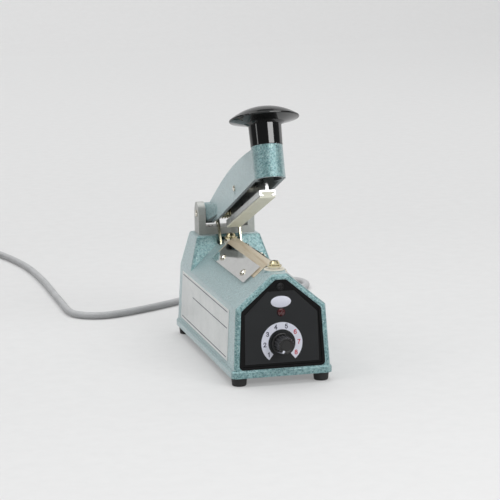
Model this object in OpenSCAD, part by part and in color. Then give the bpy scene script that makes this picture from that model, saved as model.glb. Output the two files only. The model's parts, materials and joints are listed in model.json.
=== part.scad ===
// Hand impulse sealer: a cast bench sealer that welds plastic bags along one short seam.
// Lengths are in millimetres, +Z is up and the front faces -Y.
// The origin lies on the floor under the middle of the sealer, its mains lead left aside.

/* [Body] */
// Width of the foot flange
body_w = 80; // [79:0.5:84]
// Length of the foot flange
body_l = 209; // [206:1:216]
// Height of the rubber feet
foot_h = 7; // [6:0.5:9]
// Thickness of the foot flange
flange_t = 6; // [5:0.5:7]
// Ledge of the flange beside each side wall
side_ledge = 1.8; // [1.2:0.1:2.4]
// Ledge of the flange before each end wall
end_ledge = 1; // [0.6:0.1:1.6]
// Width across the eaves
eave_w = 71; // [69:0.5:73]
// Height of the eaves above the flange
eave_h = 47.3; // [46:0.1:49]
// Width of the flat ridge
ridge_w = 11.8; // [11.2:0.1:12.6]
// Height of the ridge above the flange
ridge_h = 72.5; // [71.5:0.1:74]
// Lean of the front and rear walls from upright, in degrees
face_lean = 2.5; // [1:0.25:4]
// Wall thickness of the casting
wall = 3.2; // [2.8:0.1:3.6]
// Thickness of the front wall round the panel
front_wall = 6; // [5.4:0.1:7]
// Rounding of the casting's edges
edge_r = 2.5; // [1.5:0.1:3]
// Rounding of the flange's corners
flange_r = 5; // [3.5:0.5:7]

/* [Rear block] */
// Height of the rear block above the flange
block_h = 75; // [74:0.1:78]
// Width of the rear block across its top
block_w = 54.2; // [52:0.1:58]
// Length of the rear block's top, back to the end of the flange
block_l = 35.8; // [35:0.1:37]
// How far the block's front face runs forward on its way down to the eaves
block_toe = 10.2; // [9:0.1:11]

/* [Hinge] */
// Distance of the hinge pin from the rear end of the flange
hinge_back = 20.5; // [20:0.1:21]
// Height of the hinge pin above the rear block
hinge_rise = 17.2; // [16.8:0.1:18]
// Diameter of the hinge pin
pin_d = 6; // [5:0.1:6.4]
// Width across the hinge bracket
bracket_w = 48; // [47:0.5:50]
// Thickness of each bracket ear
ear_t = 6; // [5:0.1:6.2]
// Radius of the bracket's ears
ear_r = 8.6; // [8:0.1:8.8]
// Thickness of the bracket's base
bracket_base = 6; // [5:0.1:6.4]

/* [Arm] */
// Angle of the arm above level when it stands open, in degrees
arm_open = 21.3; // [19:0.1:24]
// Distance from the hinge pin to the handle knob
arm_l = 164.2; // [160:0.1:170]
// Width of the arm
arm_w = 24.4; // [24:0.1:24.8]
// Wall thickness of the arm
arm_wall = 2.7; // [2.4:0.1:3]
// Radius of the arm's barrel on the hinge pin
barrel_r = 8.8; // [8.4:0.1:9.4]
// Radius of the round boss under the handle knob
boss_r = 12.3; // [12.3:0.1:13.5]
// Height of the boss's top above the arm's hinge line
boss_top = 14.6; // [14.5:0.1:16]
// Forward lean of the boss from square to the arm, in degrees
boss_lean = 3; // [2:0.5:4]
// Radius of the handle knob's rim
knob_r = 27.2; // [25:0.1:30]
// Height of the handle knob
knob_h = 31.2; // [29:0.1:34]
// Height of the handle knob's dome above its rim
dome_h = 9.5; // [8.5:0.1:10.5]

/* [Pressure bar] */
// Distance from the hinge pin to the bar's own pin, along the arm
bar_reach = 96; // [94:0.5:99]
// Depth of the bar's pin below the arm's hinge line
bar_drop = 1.7; // [1.2:0.1:2.2]
// Angle by which the open bar hangs forward from the arm, in degrees
bar_droop = 1.4; // [0.6:0.1:1.8]
// Length of the bar ahead of its pin
bar_front = 56.7; // [52:0.1:58]
// Length of the bar behind its pin
bar_rear = 65.3; // [60:0.1:66]
// Width of the bar's channel
bar_w = 12.4; // [11.8:0.1:13.4]
// Distance from the bar's pin down to the face of the silicone strip
bar_depth = 19.75; // [19:0.05:20.5]
// Thickness of the bar's upright web
web_t = 2.3; // [1.8:0.1:2.6]
// Diameter of the bar's pin
bar_pin_d = 4; // [3:0.1:4.4]

/* [Sealing bed] */
// Distance of the front terminal from the front end wall
front_post = 21; // [20:0.5:22]
// Distance of the rear terminal from the rear end of the flange
rear_post = 43; // [42.5:0.1:43.5]
// Height of the heater bar above the ridge
heater_h = 2.6; // [2.4:0.1:3.2]
// Width of the heating element
element_w = 2; // [1.6:0.1:2.2]
// Thickness of the heating element
element_t = 0.2; // [0.15:0.05:0.3]
// Thickness of the glass cloth
cloth_t = 0.3; // [0.2:0.05:0.4]
// Thickness of the clamp plates
plate_t = 1; // [0.8:0.1:1.4]
// Width of a clamp plate, down the slope
plate_w = 17.9; // [17:0.1:20]

/* [Front panel and timer] */
// Margin between the panel and the edges of the front wall
panel_margin = 4.4; // [4:0.1:4.8]
// Depth of the panel's pocket
pocket_d = 3.4; // [3.2:0.1:3.8]
// Width of the panel's raised rim
rim_w = 2; // [1.6:0.1:2.4]
// Height of the timer's axis above the flange
dial_h = 19.3; // [18.5:0.1:20.5]
// Radius of the timer knob's fluted cap at its foot
cap_r = 7.4; // [7:0.1:7.8]
// Length of the timer knob
timer_l = 14; // [12.5:0.1:16]
// Diameter of the timer's shaft
shaft_d = 6; // [5.6:0.1:6.2]
// Height of the lamp above the flange
lamp_h = 43.2; // [42:0.1:44]
// Diameter of the lamp's lens
lens_d = 6.4; // [5.6:0.1:7]
// Number of flutes round the timer knob
flutes = 18; // [12:1:24]

/* [Transformer] */
// Width of the core
core_w = 57; // [50:0.5:66]
// Height of the core
core_h = 47.5; // [44:0.5:48]
// Thickness of the core's stack
core_t = 28; // [24:0.5:32]
// Thickness of the strap
strap_t = 1.2; // [1:0.1:1.5]

/* [Fasteners and fits] */
// Radial room round a screw
screw_fit = 0.05; // [0.03:0.01:0.1]
// Radial room round a turning pin or shaft
turn_fit = 0.05; // [0.02:0.01:0.1]
// Room round a piece that drops into a recess
seat_fit = 0.25; // [0.15:0.05:0.3]
// Room beside a part that swings
swing_fit = 0.4; // [0.3:0.05:0.6]
// Diameter of the small screws
small_d = 3; // [2.6:0.1:3.2]
// Diameter of the bracket's screws and terminals
large_d = 4; // [3.6:0.1:4.2]

/* [Lead] */
// Diameter of the mains lead
cord_d = 6.5; // [6:0.1:6.6]
// Length of the strain relief behind the body
relief_l = 29.5; // [24:0.5:34]

/* [Hidden] */
$fn = 48;

teal = "#8fb0b2";
black = "#1d1d1f";
steel = "#c9ccce";
brass = "#c8a44e";
grey = "#8d9296";

// A small tuck that keeps joined surfaces of one casting from lying in one plane
tuck = 0.05;
// Overshoot of a cutting tool past the face it cuts
cut = 1;

// Heights of the body
flange_top = foot_h + flange_t;
eave_z = flange_top + eave_h;
ridge_z = flange_top + ridge_h;
block_z = flange_top + block_h;

// Half widths of the body
wall_x = body_w / 2 - side_ledge;
eave_x = eave_w / 2;
ridge_x = ridge_w / 2;

// End walls, measured at the flange
front_y = end_ledge;
rear_y = body_l - end_ledge;
rear_in = rear_y - block_h * tan(face_lean) - wall;
slope_a = atan2(ridge_z - eave_z, eave_x - ridge_x);

// Hinge axis
pivot_y = body_l - hinge_back;
pivot_z = block_z + hinge_rise;
pin_r = pin_d / 2;

// Screws
small_r = small_d / 2;
small_head_r = small_d;
small_head_h = 0.6 * small_d;
small_hole = small_r + screw_fit;
large_r = large_d / 2;
large_hole = large_r + screw_fit;

// Base plate, feet and what is screwed to the plate
plate_z = foot_h;
base_t = 1.5;
base_top = plate_z + base_t;
base_in = 2.7;
foot_in = 7.5;
foot_end = 9;
foot_r = 6.2;
foot_toe_r = 5.6;
foot_recess = 3.3;
foot_places = [for (x = [-1, 1]) for (y = [foot_end, body_l - foot_end]) [x * (body_w / 2 - foot_in), y]];
foot_boss_r = 4.5;
foot_boss_h = 14;
foot_bite = 9.5;
foot_screw_top = base_top + foot_bite;

// Front panel, measured on the leaning front wall: x, then height above the flange
panel_r = 3;
panel_foot = 0.3;
panel_face = 0.8;
rim_rise = 0.2;
label_t = 0.25;
face_up = 1 / cos(face_lean);
panel_screw_h = ridge_h - 9.7;
panel_screw_l = 5;
label_side = 9;
label_eave = 6.9;
label_low = 4.2;
window_x = 26;
window_low = 5;
window_eave = 40;
window_top_x = 13;
window_high = 52;
board_d = 14;
board_t = 1.6;
board_x = 24;
board_low = 6;
board_high = 50;
relay_x = -12;
relay_h = 36;
relay_size = [19, 15, 15.5];
capacitor_l = 12.6;
capacitor_edge = 0.6;
// Capacitors on the board: x, height and radius
capacitor_places = [[8, 38, 5], [17, 24, 4]];

// Timer, measured as depth behind the front wall
nut_t = 2;
nut_r = 5.77;
bush_r = shaft_d / 2 + 0.45;
pot_r = 8;
knob_gap = 0.4;
knob_back = panel_face - label_t - knob_gap;
knob_face = knob_back - timer_l;
skirt_r = cap_r + 0.8;
skirt_h = 2.5;
cap_tip_r = cap_r - 1.1;
cap_edge = 0.6;
cap_rim = 1.5;
cap_dip = 0.6;
flute_r = 0.85;
flute_out = 0.2;
cap_taper = atan2(cap_r - cap_tip_r, timer_l - skirt_h);
knob_room_r = nut_r + 0.83;
knob_wall = 3;

// Middle of the sealer's own box, from the timer knob's front to the rear end of the flange
knob_front_y = front_y + (dial_h - cap_tip_r + cap_edge) * sin(face_lean) + knob_face * cos(face_lean);
origin_y = (body_l + knob_front_y) / 2;

// Sealing bed
front_post_y = front_y + front_post;
rear_post_y = body_l - rear_post;
heater_y0 = front_post_y + 10;
heater_y1 = rear_post_y - 16;
heater_z = ridge_z + heater_h;
heater_top_x = ridge_x - heater_h / tan(slope_a);
element_z = heater_z + element_t;
cloth_over = 0.8;
cloth_s = 11;
plate_s = 1.05;
plate_in = 5;
clamp_s = 13;
clamp_end = 25;
clamp_head_h = 1.4;
heater_end = 28;
post_r = 4.5;
element_ring_r = 4;
insulator_t = 0.9;
insulator_r = 8;
terminal_boss_r = 8.2;
terminal_boss_rise = 0.3;
terminal_boss_h = 9.8;
bush_out_r = large_r + 1.1;
terminal_head_r = 4.1;
terminal_head_h = 3.3;
terminal_washer_r = 5.7;
terminal_washer_t = 1.2;
terminal_l = 14;

// Notch in the ridge and the rear block, where the rear terminal stands and the fork goes down
notch_x = 10.5;
notch_z = ridge_z - 3;
notch_y0 = heater_y1 + 3;
notch_y1 = pivot_y - ear_r - 0.3;
notch_floor_t = 6.5;
notch_floor_x = 7;
mouth_x = 7;
rear_insulator_r = 5.8;
rear_insulator_t = 1.8;
rear_post_h = 1.7;
rear_post_z = notch_z + rear_insulator_t + rear_post_h;

// Arm and the ears beside it
ear_up = 2.2;
ear_top_r = ear_r - 1;
arm_in = arm_w / 2 - arm_wall;
ear_in = bracket_w / 2 - ear_t;
knuckle_x = ear_in - swing_fit;
beam_r = barrel_r - 0.5;
beam_edge = 1.3;
beam_low = -10.8;
beam_step_u = 29;
beam_step_o = 12.7;
beam_end_o = 13.4;
beam_rise = 3.9;
beam_steps = 6;
roof_t = 3;
gusset_u = 24;
gusset_o = -3;
gusset_r = 4.5;
boss_low = -11;
boss_top_t = 6.7;
spring_room = 6.8;
stud_r = 4;
stud_up = 15;
stud_head_r = 7.5;
stud_head_h = 5.5;

// Fork that works the switch
fork_t = 1.4;
fork_fit = 0.1;
fork_x = arm_in - fork_fit;
fork_u0 = 9;
fork_u1 = 14;
fork_top = 4;
fork_low = -43.4;
fork_screw_u = (fork_u0 + fork_u1) / 2;
fork_screw_o = [1, -6];
fork_screw_r = 1.25;
fork_head_r = 2.2;
fork_head_h = 1.4;
fork_bite = 2.1;
fork_slot = 0.8;

// Pressure bar, measured up from the face of the silicone strip
pad_face_t = 1.5;
lip_low = pad_face_t + 0.2;
lip_t = 1;
lip_w = 1.6;
channel_wall = 1.2;
channel_low = 4.8;
channel_top = 6.1;
web_over = 5;
pad_fit = 0.15;
bar_pin_r = bar_pin_d / 2;
pin_head_r = 2.5;
pin_head_t = 1.1;
pin_head_edge = 0.6;
spacer_r = 3.5;
oil_r = 0.9;
oil_low = 4.3;
rivet_r = 2.6;
rivet_t = 0.8;

// Closed arm: the strip lies flat, this far above the cloth
pad_gap = 0.3;
closed_pin_z = element_z + cloth_t + pad_gap + bar_depth;
arm_closed = asin((closed_pin_z - pivot_z) / norm([bar_reach, bar_drop])) + atan2(bar_drop, bar_reach);
arm_travel = arm_open - arm_closed;
bar_travel = arm_open - bar_droop - arm_travel;

// Switch: the plunger stands where the fork's foot ends its swing
fork_foot_o = fork_low + fork_t / 2;
press_y = pivot_y - fork_u0 * cos(arm_closed) + fork_foot_o * sin(arm_closed);
press_z = pivot_z + fork_u0 * sin(arm_closed) + fork_foot_o * cos(arm_closed);
press_gap = 0.3;
button_r = 1.6;
button_out = 3.3;
button_travel = 1.2;
button_in = 2;
switch_x = 5.15;
switch_l = 15.9;
switch_h = 27.8;
switch_low = press_z - 16.4;
switch_y = press_y + press_gap + button_out;
switch_top = switch_low + switch_h;
stand_t = 1.5;
stand_foot = 13.4;
stand_in = 0.8;
stand_y0 = switch_y + stand_in;
stand_l = 15;
switch_hole_in = 11.8;
switch_hole_low = 3;
switch_hole_high = 2.6;
switch_head_r = small_head_r - 0.4;
switch_screw_over = 1;
switch_screw_y = switch_y + switch_hole_in;
switch_screw_z = [switch_low + switch_hole_low, switch_top - switch_hole_high];
stand_hole_x = 7.4;
stand_holes = [3.5, 11.5];
stand_screw_x = switch_x + stand_t + stand_hole_x;
stand_screw_y = [for (y = stand_holes) stand_y0 + y];

// Transformer
core_x = core_w / 2;
core_y = 84;
leg_w = core_w / 6;
winding_gap = 0.3;
winding_over = 9;
strap_y = 16;
strap_foot = 4.8;
strap_hole = 2.5;
strap_screw_x = core_x + strap_t + strap_hole;
core_top = base_top + core_h;

// Screws that come up through the base plate
under_places = [
    for (s = [-1, 1]) [0, core_y + s * strap_screw_x],
    for (y = stand_screw_y) [stand_screw_x, y]
];
under_r = small_r;
under_l = 5;

// Bracket screws
bracket_screw_x = 13.5;
bracket_head_r = 3.4;
bracket_head_h = 3;
bracket_screw_l = 10;
bracket_boss_r = 5;
bracket_boss_h = 9;

// Return spring round the hinge pin
wire_d = 1.4;
spring_r = 5.2;
spring_pitch = 2.2;
spring_turns = 5;
spring_end_a = 62.7;
spring_sweep = 360 * spring_turns + spring_end_a;
spring_x0 = -spring_pitch * spring_sweep / 720;
spring_leg = 16;
spring_steps = 41;
spring_seat = 0.4;

// Strain relief and lead
relief_z = foot_h + 17;
relief_r = 5.4;
relief_collar_r = 8;
relief_collar_t = 2.4;
relief_ring_t = 1.8;
relief_tip_r = 4.4;
relief_y = rear_y - (relief_z - relief_collar_r - flange_top) * tan(face_lean) + 0.1;
relief_tip_y = relief_y + relief_l;
cord_r = cord_d / 2;

// Coil of the spare lead, beside the left edge of the view: it lies in the tie, in two layers
tie_t = 1.2;
tie_w = 12;
coil_c = [-193, 518];
coil_r = 39.5;
coil_pitch = 7.1;
coil_from = 55;
coil_turn = 1205;
coil_steps = 80;
coil_low = tie_t + cord_r + 0.05;
coil_tail = 34;
tie_a = 290;
tie_room = 0.9;

// Plug at the end of the coil's tail
plug_w = 24;
plug_h = 23;
plug_l = 38;
plug_r = 4;
blade_l = 17;
blade_w = 6.4;
blade_t = 1.6;
blade_x = 6.35;
earth_r = 2.4;
earth_z = -6;

function unit(v) = v / norm(v);
function left_normal(a, b) = let (u = unit(b - a)) [-u[1], u[0]];

// Convex outline, counter-clockwise, with every side moved inwards by d
function inset(p, d) = [
    for (i = [0 : len(p) - 1])
        let (a = p[(i + len(p) - 1) % len(p)], b = p[i], c = p[(i + 1) % len(p)])
        let (m = left_normal(a, b), n = left_normal(b, c))
        b + d * (m + n) / (1 + m * n)
];

// Outline from its right half, listed upwards from the bottom
function both_sides(p) = concat(
    [[-p[0][0], p[0][1]]],
    p,
    [for (i = [len(p) - 1 : -1 : 1]) [-p[i][0], p[i][1]]]
);

function arc(c, r, a0, a1, n) = [
    for (i = [0 : n]) let (a = a0 + (a1 - a0) * i / n) c + r * [cos(a), sin(a)]
];

// Half width of the side walls, and places of the end walls, at a height z
function wall_at(z) = wall_x - (z - flange_top) * (wall_x - eave_x) / eave_h;
function front_at(z) = front_y + (z - flange_top) * tan(face_lean);
function rear_at(z) = rear_y - (z - flange_top) * tan(face_lean);
function block_front_at(z) = body_l - block_l - (block_z - z) * block_toe / (block_z - eave_z);

// House-shaped section of the body, and the section of the rear block
house_low = foot_h + 1;
house = both_sides([[wall_at(house_low), house_low], [eave_x, eave_z], [ridge_x, ridge_z]]);
house_room = both_sides([[wall_at(0), 0], [eave_x, eave_z], [ridge_x, ridge_z]]);
block_low = eave_z - 10;
block = both_sides([
    [wall_at(block_low) - tuck, block_low], [eave_x - tuck, eave_z], [block_w / 2, block_z]
]);

// Panel outline before its margin is taken off
face_low = panel_foot - panel_margin;
face = both_sides([
    [wall_at(flange_top + face_low), face_low],
    [eave_x, eave_h * face_up],
    [ridge_x, ridge_h * face_up]
]);
label = both_sides([
    [wall_x - label_side, label_low],
    [eave_x - label_eave, eave_h - 5.1],
    [ridge_x + 4.6, panel_screw_h - small_head_r - 0.3]
]);

// Opening in the front wall behind the panel
window = both_sides([[window_x, window_low], [window_x, window_eave], [window_top_x, window_high]]);

module row() translate([0, -origin_y, 0]) children();

module on_front()
    translate([0, front_y, flange_top]) rotate([-face_lean, 0, 0]) children();

module on_slope(side)
    mirror([side < 0 ? 1 : 0, 0, 0])
        translate([ridge_x, 0, ridge_z]) rotate([0, slope_a, 0]) children();

module on_arm()
    translate([0, pivot_y, pivot_z]) rotate([-arm_open, 0, 0]) children();

module on_boss()
    translate([0, -arm_l, 0]) rotate([boss_lean, 0, 0]) children();

module on_bar()
    on_arm() translate([0, -bar_reach, -bar_drop]) rotate([bar_droop, 0, 0]) children();

// Transformer's own frame: its width lies along the body
module on_core() row() translate([0, core_y, 0]) rotate([0, 0, 90]) children();

module both_ways() for (s = [0, 1]) mirror([s, 0, 0]) children();

// Section in x and z carried along y
module prism_y(y0, y1)
    translate([0, y1, 0]) rotate([90, 0, 0]) linear_extrude(y1 - y0) children();

// Section in y and z carried along x
module prism_x(x0, x1)
    translate([x0, 0, 0]) rotate([90, 0, 90]) linear_extrude(x1 - x0) children();

module rod_x(r, x0, x1) translate([x0, 0, 0]) rotate([0, 90, 0]) cylinder(r = r, h = x1 - x0);
module rod_y(r, y0, y1) translate([0, y0, 0]) rotate([-90, 0, 0]) cylinder(r = r, h = y1 - y0);
module rod_z(r, z0, z1) translate([0, 0, z0]) cylinder(r = r, h = z1 - z0);

module block_of(lo, hi) translate(lo) cube(hi - lo);

module rounded(w, l, r) {
    square([w - 2 * r, l], center = true);
    square([w, l - 2 * r], center = true);
    for (x = [-1, 1]) for (y = [-1, 1])
        translate([x * (w / 2 - r), y * (l / 2 - r)]) circle(r);
}

// Pan-head screw: the head stands above z = 0 and the shank hangs below it
module screw(head_r, head_h, shank_r, shank_l) {
    slot_w = 0.28 * head_r;
    slot_l = 1.3 * head_r;
    slot_d = 0.5 * head_h;
    difference() {
        rotate_extrude()
            polygon([
                [0, -shank_l], [shank_r, -shank_l], [shank_r, 0], [head_r, 0],
                [head_r, 0.45 * head_h], [0.7 * head_r, head_h], [0, head_h]
            ]);
        for (a = [0, 90])
            rotate([0, 0, a])
                translate([-slot_l / 2, -slot_w / 2, head_h - slot_d]) cube([slot_l, slot_w, head_h]);
    }
}

// Tube of n sides along a list of points, with triangular faces
function tangents(p) = [
    for (i = [0 : len(p) - 1]) unit(p[min(i + 1, len(p) - 1)] - p[max(i - 1, 0)])
];
function ring(c, t, ref, r, n) =
    let (s = unit(cross(t, ref)), b = cross(s, t))
    [for (k = [0 : n - 1]) c + r * (cos(360 * k / n) * s + sin(360 * k / n) * b)];

module tube(path, r, n, ref) {
    t = tangents(path);
    last = len(path) - 1;
    points = [for (i = [0 : last]) each ring(path[i], t[i], ref, r, n)];
    sides = [
        for (i = [0 : last - 1]) for (k = [0 : n - 1])
            let (a = i * n + k, b = i * n + (k + 1) % n)
            each [[a, b, b + n], [a, b + n, a + n]]
    ];
    first_cap = [for (k = [1 : n - 2]) [0, k + 1, k]];
    last_cap = [for (k = [1 : n - 2]) [last * n, last * n + k, last * n + k + 1]];
    polyhedron(points, concat(sides, first_cap, last_cap));
}

// Least distance between the skins of a tube's turns, over points at least apart steps from each other
function least_gap(p, d, apart) = min([
    for (i = [0 : len(p) - 1 - apart]) for (j = [i + apart : len(p) - 1]) norm(p[i] - p[j])
]) - d;

// Smooth curve through points, with one more point in each span, whose first and last spans are straight
function doubled(p) = concat(
    [p[0]],
    [for (i = [1 : len(p) - 3]) each [p[i], (9 * (p[i] + p[i + 1]) - p[i - 1] - p[i + 2]) / 16]],
    [p[len(p) - 2], p[len(p) - 1]]
);

// Casting of the body

module front_block()
    hull()
        for (p = inset(house, edge_r)) for (end = [0, 1])
            translate([
                p[0],
                end == 0 ? front_at(p[1]) + edge_r * face_up : rear_at(p[1]) - edge_r * face_up,
                p[1]
            ]) sphere(edge_r, $fn = 24);

module rear_block() {
    toe_up = 1 / cos(atan2(block_toe, block_z - eave_z));
    hull()
        for (p = inset(block, edge_r)) for (end = [0, 1])
            translate([
                p[0],
                end == 0 ? block_front_at(p[1]) + edge_r * toe_up
                    : rear_at(p[1]) - edge_r * face_up - tuck,
                p[1]
            ]) sphere(edge_r, $fn = 24);
}

module flange() {
    chamfer = 1.5;
    hull()
        for (x = [-1, 1]) for (y = [flange_r, body_l - flange_r])
            translate([x * (body_w / 2 - flange_r), y, foot_h]) {
                cylinder(r = flange_r, h = flange_t - chamfer, $fn = 32);
                cylinder(r = flange_r - chamfer, h = flange_t, $fn = 32);
            }
}

// Slab of the panel's outline between two depths behind the front wall
module panel_slab(grow, d0, d1)
    hull()
        for (p = inset(face, panel_margin + panel_r))
            translate([p[0], 0, p[1]]) rod_y(panel_r + grow, d0, d1, $fn = 32);

module body_room() {
    block_room_y = notch_y1 + wall;
    difference() {
        prism_y(-cut, rear_in) polygon(inset(house_room, wall));
        on_front() block_of([-body_w, -body_w, -body_w], [body_w, front_wall, ridge_h + body_w]);
    }
    prism_y(block_room_y, rear_in) polygon(inset(block, wall));
    translate([0, body_l / 2, plate_z - cut])
        linear_extrude(base_t + cut)
            rounded(body_w - 2 * base_in, body_l - 2 * base_in, flange_r - 1.5);
}

module body_bosses() {
    for (p = foot_places)
        translate(p) rod_z(foot_boss_r, base_top, base_top + foot_boss_h);
    for (s = [-1, 1])
        translate([s * bracket_screw_x, pivot_y])
            rod_z(bracket_boss_r, block_z - wall - bracket_boss_h, block_z - wall / 2);
    translate([0, front_post_y])
        rod_z(
            terminal_boss_r,
            ridge_z + terminal_boss_rise - terminal_boss_h,
            ridge_z + terminal_boss_rise
        );
    block_of(
        [-notch_floor_x, notch_y0 - wall, notch_z - notch_floor_t],
        [notch_floor_x, notch_y1 + wall / 2, notch_z - tuck]
    );
}

module body_holes() {
    on_front() {
        panel_slab(seat_fit, -5, pocket_d);
        prism_y(0, front_wall + cut) polygon(window);
        translate([0, 0, panel_screw_h]) rod_y(small_hole, 0, front_wall + panel_screw_l);
    }
    block_of([-notch_x, notch_y0, notch_z], [notch_x, notch_y1, block_z + cut]);
    block_of([-mouth_x, notch_y1 - cut, notch_z], [mouth_x, notch_y1 + wall + cut, block_z + cut]);
    for (s = [-1, 1])
        block_of(
            [s < 0 ? -notch_x : fork_x - fork_t - fork_slot, slot_y0, notch_z - notch_floor_t - 16],
            [s < 0 ? fork_slot + fork_t - fork_x : notch_x, notch_y1, notch_z + cut]
        );
    for (p = foot_places) translate(p) rod_z(small_hole, base_top - cut, foot_screw_top + cut);
    for (s = [-1, 1])
        translate([s * bracket_screw_x, pivot_y])
            rod_z(large_hole, block_z - bracket_screw_l - cut, block_z + cut);
    for (y = [front_post_y, rear_post_y])
        translate([0, y]) rod_z(bush_out_r + screw_fit, notch_z - 20, ridge_z + cut);
    for (y = [heater_y0 + heater_end, heater_y1 - heater_end])
        translate([0, y]) rod_z(small_hole, ridge_z - wall - cut, ridge_z + cut);
    for (s = [-1, 1]) for (y = [heater_y0 + clamp_end, heater_y1 - clamp_end])
        on_slope(s) translate([clamp_s, y]) rod_z(small_hole, -2 * wall, cut);
    translate([0, 0, relief_z]) rod_y(relief_r + screw_fit, rear_in - cut, rear_y + cut);
}

// Front end of the fork's slots: the open fork's front edge at the under side of the notch floor
slot_room = 0.6;
slot_o = (notch_z - notch_floor_t - pivot_z - fork_u1 * sin(arm_open)) / cos(arm_open);
slot_y0 = pivot_y - fork_u1 * cos(arm_open) + slot_o * sin(arm_open) - slot_room;

module housing() color(teal) row()
    difference() {
        union() {
            difference() {
                union() {
                    front_block();
                    rear_block();
                    flange();
                }
                body_room();
            }
            body_bosses();
        }
        body_holes();
    }

module base_plate() color(grey) row()
    difference() {
        translate([0, body_l / 2, plate_z])
            linear_extrude(base_t)
                rounded(
                    body_w - 2 * base_in - 2 * seat_fit,
                    body_l - 2 * base_in - 2 * seat_fit,
                    flange_r - 1.5 - seat_fit
                );
        for (p = concat(foot_places, under_places))
            translate(p) rod_z(small_hole, plate_z - cut, base_top + cut);
    }

module rubber_feet() color(black) row()
    for (p = foot_places)
        translate(p)
            difference() {
                rotate_extrude()
                    polygon([
                        [0, 0], [foot_toe_r - 0.6, 0], [foot_toe_r, 0.6], [foot_r, foot_h], [0, foot_h]
                    ]);
                rod_z(small_head_r + 0.4, -cut, foot_recess);
                rod_z(small_hole, 0, foot_h + cut);
            }

module foot_screws() color(steel) row()
    for (p = foot_places)
        translate([p[0], p[1], foot_recess])
            mirror([0, 0, 1]) screw(small_head_r, small_head_h, small_r, foot_screw_top - foot_recess);

// Front panel, lamp and timer

module panel_holes() {
    translate([0, 0, dial_h]) rod_y(bush_r + screw_fit, -cut, pocket_d + cut);
    translate([0, 0, lamp_h]) rod_y(lens_d / 2 + screw_fit, -cut, pocket_d + cut);
    translate([0, 0, panel_screw_h]) rod_y(small_hole, -cut, pocket_d + cut);
}

module front_panel() color(black) row() on_front()
    difference() {
        panel_slab(0, -rim_rise, pocket_d);
        panel_slab(-rim_w, -5, panel_face);
        panel_holes();
    }

module panel_label() color("#2e3033") row() on_front()
    difference() {
        prism_y(panel_face - label_t, panel_face) polygon(label);
        panel_holes();
    }

module panel_screw() color(black) row() on_front()
    translate([0, panel_face, panel_screw_h])
        rotate([90, 0, 0]) screw(small_head_r, small_head_h, small_r, front_wall + panel_screw_l - 1);

module indicator_lens() color("#7d1420") row() on_front()
    translate([0, pocket_d, lamp_h])
        rotate([90, 0, 0])
            rotate_extrude()
                polygon(concat(
                    [[0, 0], [lens_d / 2, 0]],
                    [for (a = [0 : 15 : 90]) [lens_d / 2 * cos(a), pocket_d - 0.4 + 2 * sin(a)]]
                ));

module lamp_body() color("#d9d4c6") row() on_front()
    translate([0, 0, lamp_h]) {
        rod_y(lens_d / 2 + 0.6, pocket_d, board_d - 3);
        rod_y(lens_d / 2 - 0.4, board_d - 3 - tuck, board_d);
    }

module timer_knob() color(black) row() on_front()
    translate([0, knob_back, dial_h]) rotate([90, 0, 0])
        difference() {
            rotate_extrude()
                polygon([
                    [0, 0], [skirt_r, 0], [skirt_r, skirt_h - 0.5], [skirt_r - 0.5, skirt_h],
                    [cap_r, skirt_h], [cap_tip_r, timer_l - cap_edge],
                    [cap_tip_r - cap_edge, timer_l], [cap_tip_r - cap_rim, timer_l],
                    [cap_tip_r - cap_rim - cap_dip, timer_l - cap_dip], [0, timer_l - cap_dip]
                ]);
            for (i = [0 : flutes - 1])
                rotate([0, 0, 360 * (i + 0.5) / flutes])
                    translate([cap_r + flute_out, 0, skirt_h + 0.4]) rotate([0, -cap_taper, 0])
                        cylinder(r = flute_r, h = timer_l, $fn = 16);
            rod_z(knob_room_r, -cut, nut_t + 0.4);
            rod_z(shaft_d / 2 + 0.02, 0, timer_l - knob_wall);
        }

module timer_pot() color("#4c5a4c") row() on_front()
    translate([0, 0, dial_h])
        difference() {
            union() {
                rod_y(pot_r, pocket_d, board_d);
                rod_y(bush_r, panel_face - label_t - nut_t - 0.05, pocket_d + 1);
            }
            rod_y(shaft_d / 2 + turn_fit, -20, board_d - 1.5);
        }

module pot_shaft() color(steel) row() on_front()
    translate([0, 0, dial_h]) rod_y(shaft_d / 2, knob_face + knob_wall + 0.1, board_d - 2);

module pot_nut() color(steel) row() on_front()
    translate([0, panel_face - label_t, dial_h]) rotate([90, 0, 0])
        difference() {
            cylinder(r = nut_r, h = nut_t, $fn = 6);
            rod_z(bush_r + screw_fit, -cut, nut_t + cut);
        }

module timer_board() color("#2f6b3f") row() on_front()
    block_of([-board_x, board_d, board_low], [board_x, board_d + board_t, board_high]);

module relay() color("#2b4f9e") row() on_front()
    translate([relay_x, 0, relay_h])
        prism_y(board_d + board_t, board_d + board_t + relay_size[2])
            rounded(relay_size[0], relay_size[1], 1);

module capacitors() color("#3a3350") row() on_front()
    for (p = capacitor_places)
        translate([p[0], board_d + board_t, p[1]])
            rotate([-90, 0, 0])
                rotate_extrude()
                    polygon([
                        [0, 0], [p[2], 0], [p[2], capacitor_l - capacitor_edge],
                        [p[2] - capacitor_edge, capacitor_l], [0, capacitor_l]
                    ]);

// Transformer

module transformer_core() color("#6d7075") on_core()
    difference() {
        block_of([-core_x, -core_t / 2, base_top], [core_x, core_t / 2, core_top]);
        both_ways() block_of([leg_w, -core_t, base_top + leg_w], [2 * leg_w, core_t, core_top - leg_w]);
    }

module transformer_winding() color("#b5763a") on_core() {
    stack = core_t / 2 + winding_gap;
    difference() {
        translate([0, 0, base_top + leg_w + winding_gap])
            linear_extrude(core_h - 2 * leg_w - 2 * winding_gap)
                rounded(4 * leg_w - 2 * winding_gap, core_t + 2 * winding_over, 5);
        block_of([-leg_w - winding_gap, -stack, 0], [leg_w + winding_gap, stack, core_top]);
        both_ways() block_of([2 * leg_w - winding_gap, -stack, 0], [core_w, stack, core_top]);
    }
}

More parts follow.
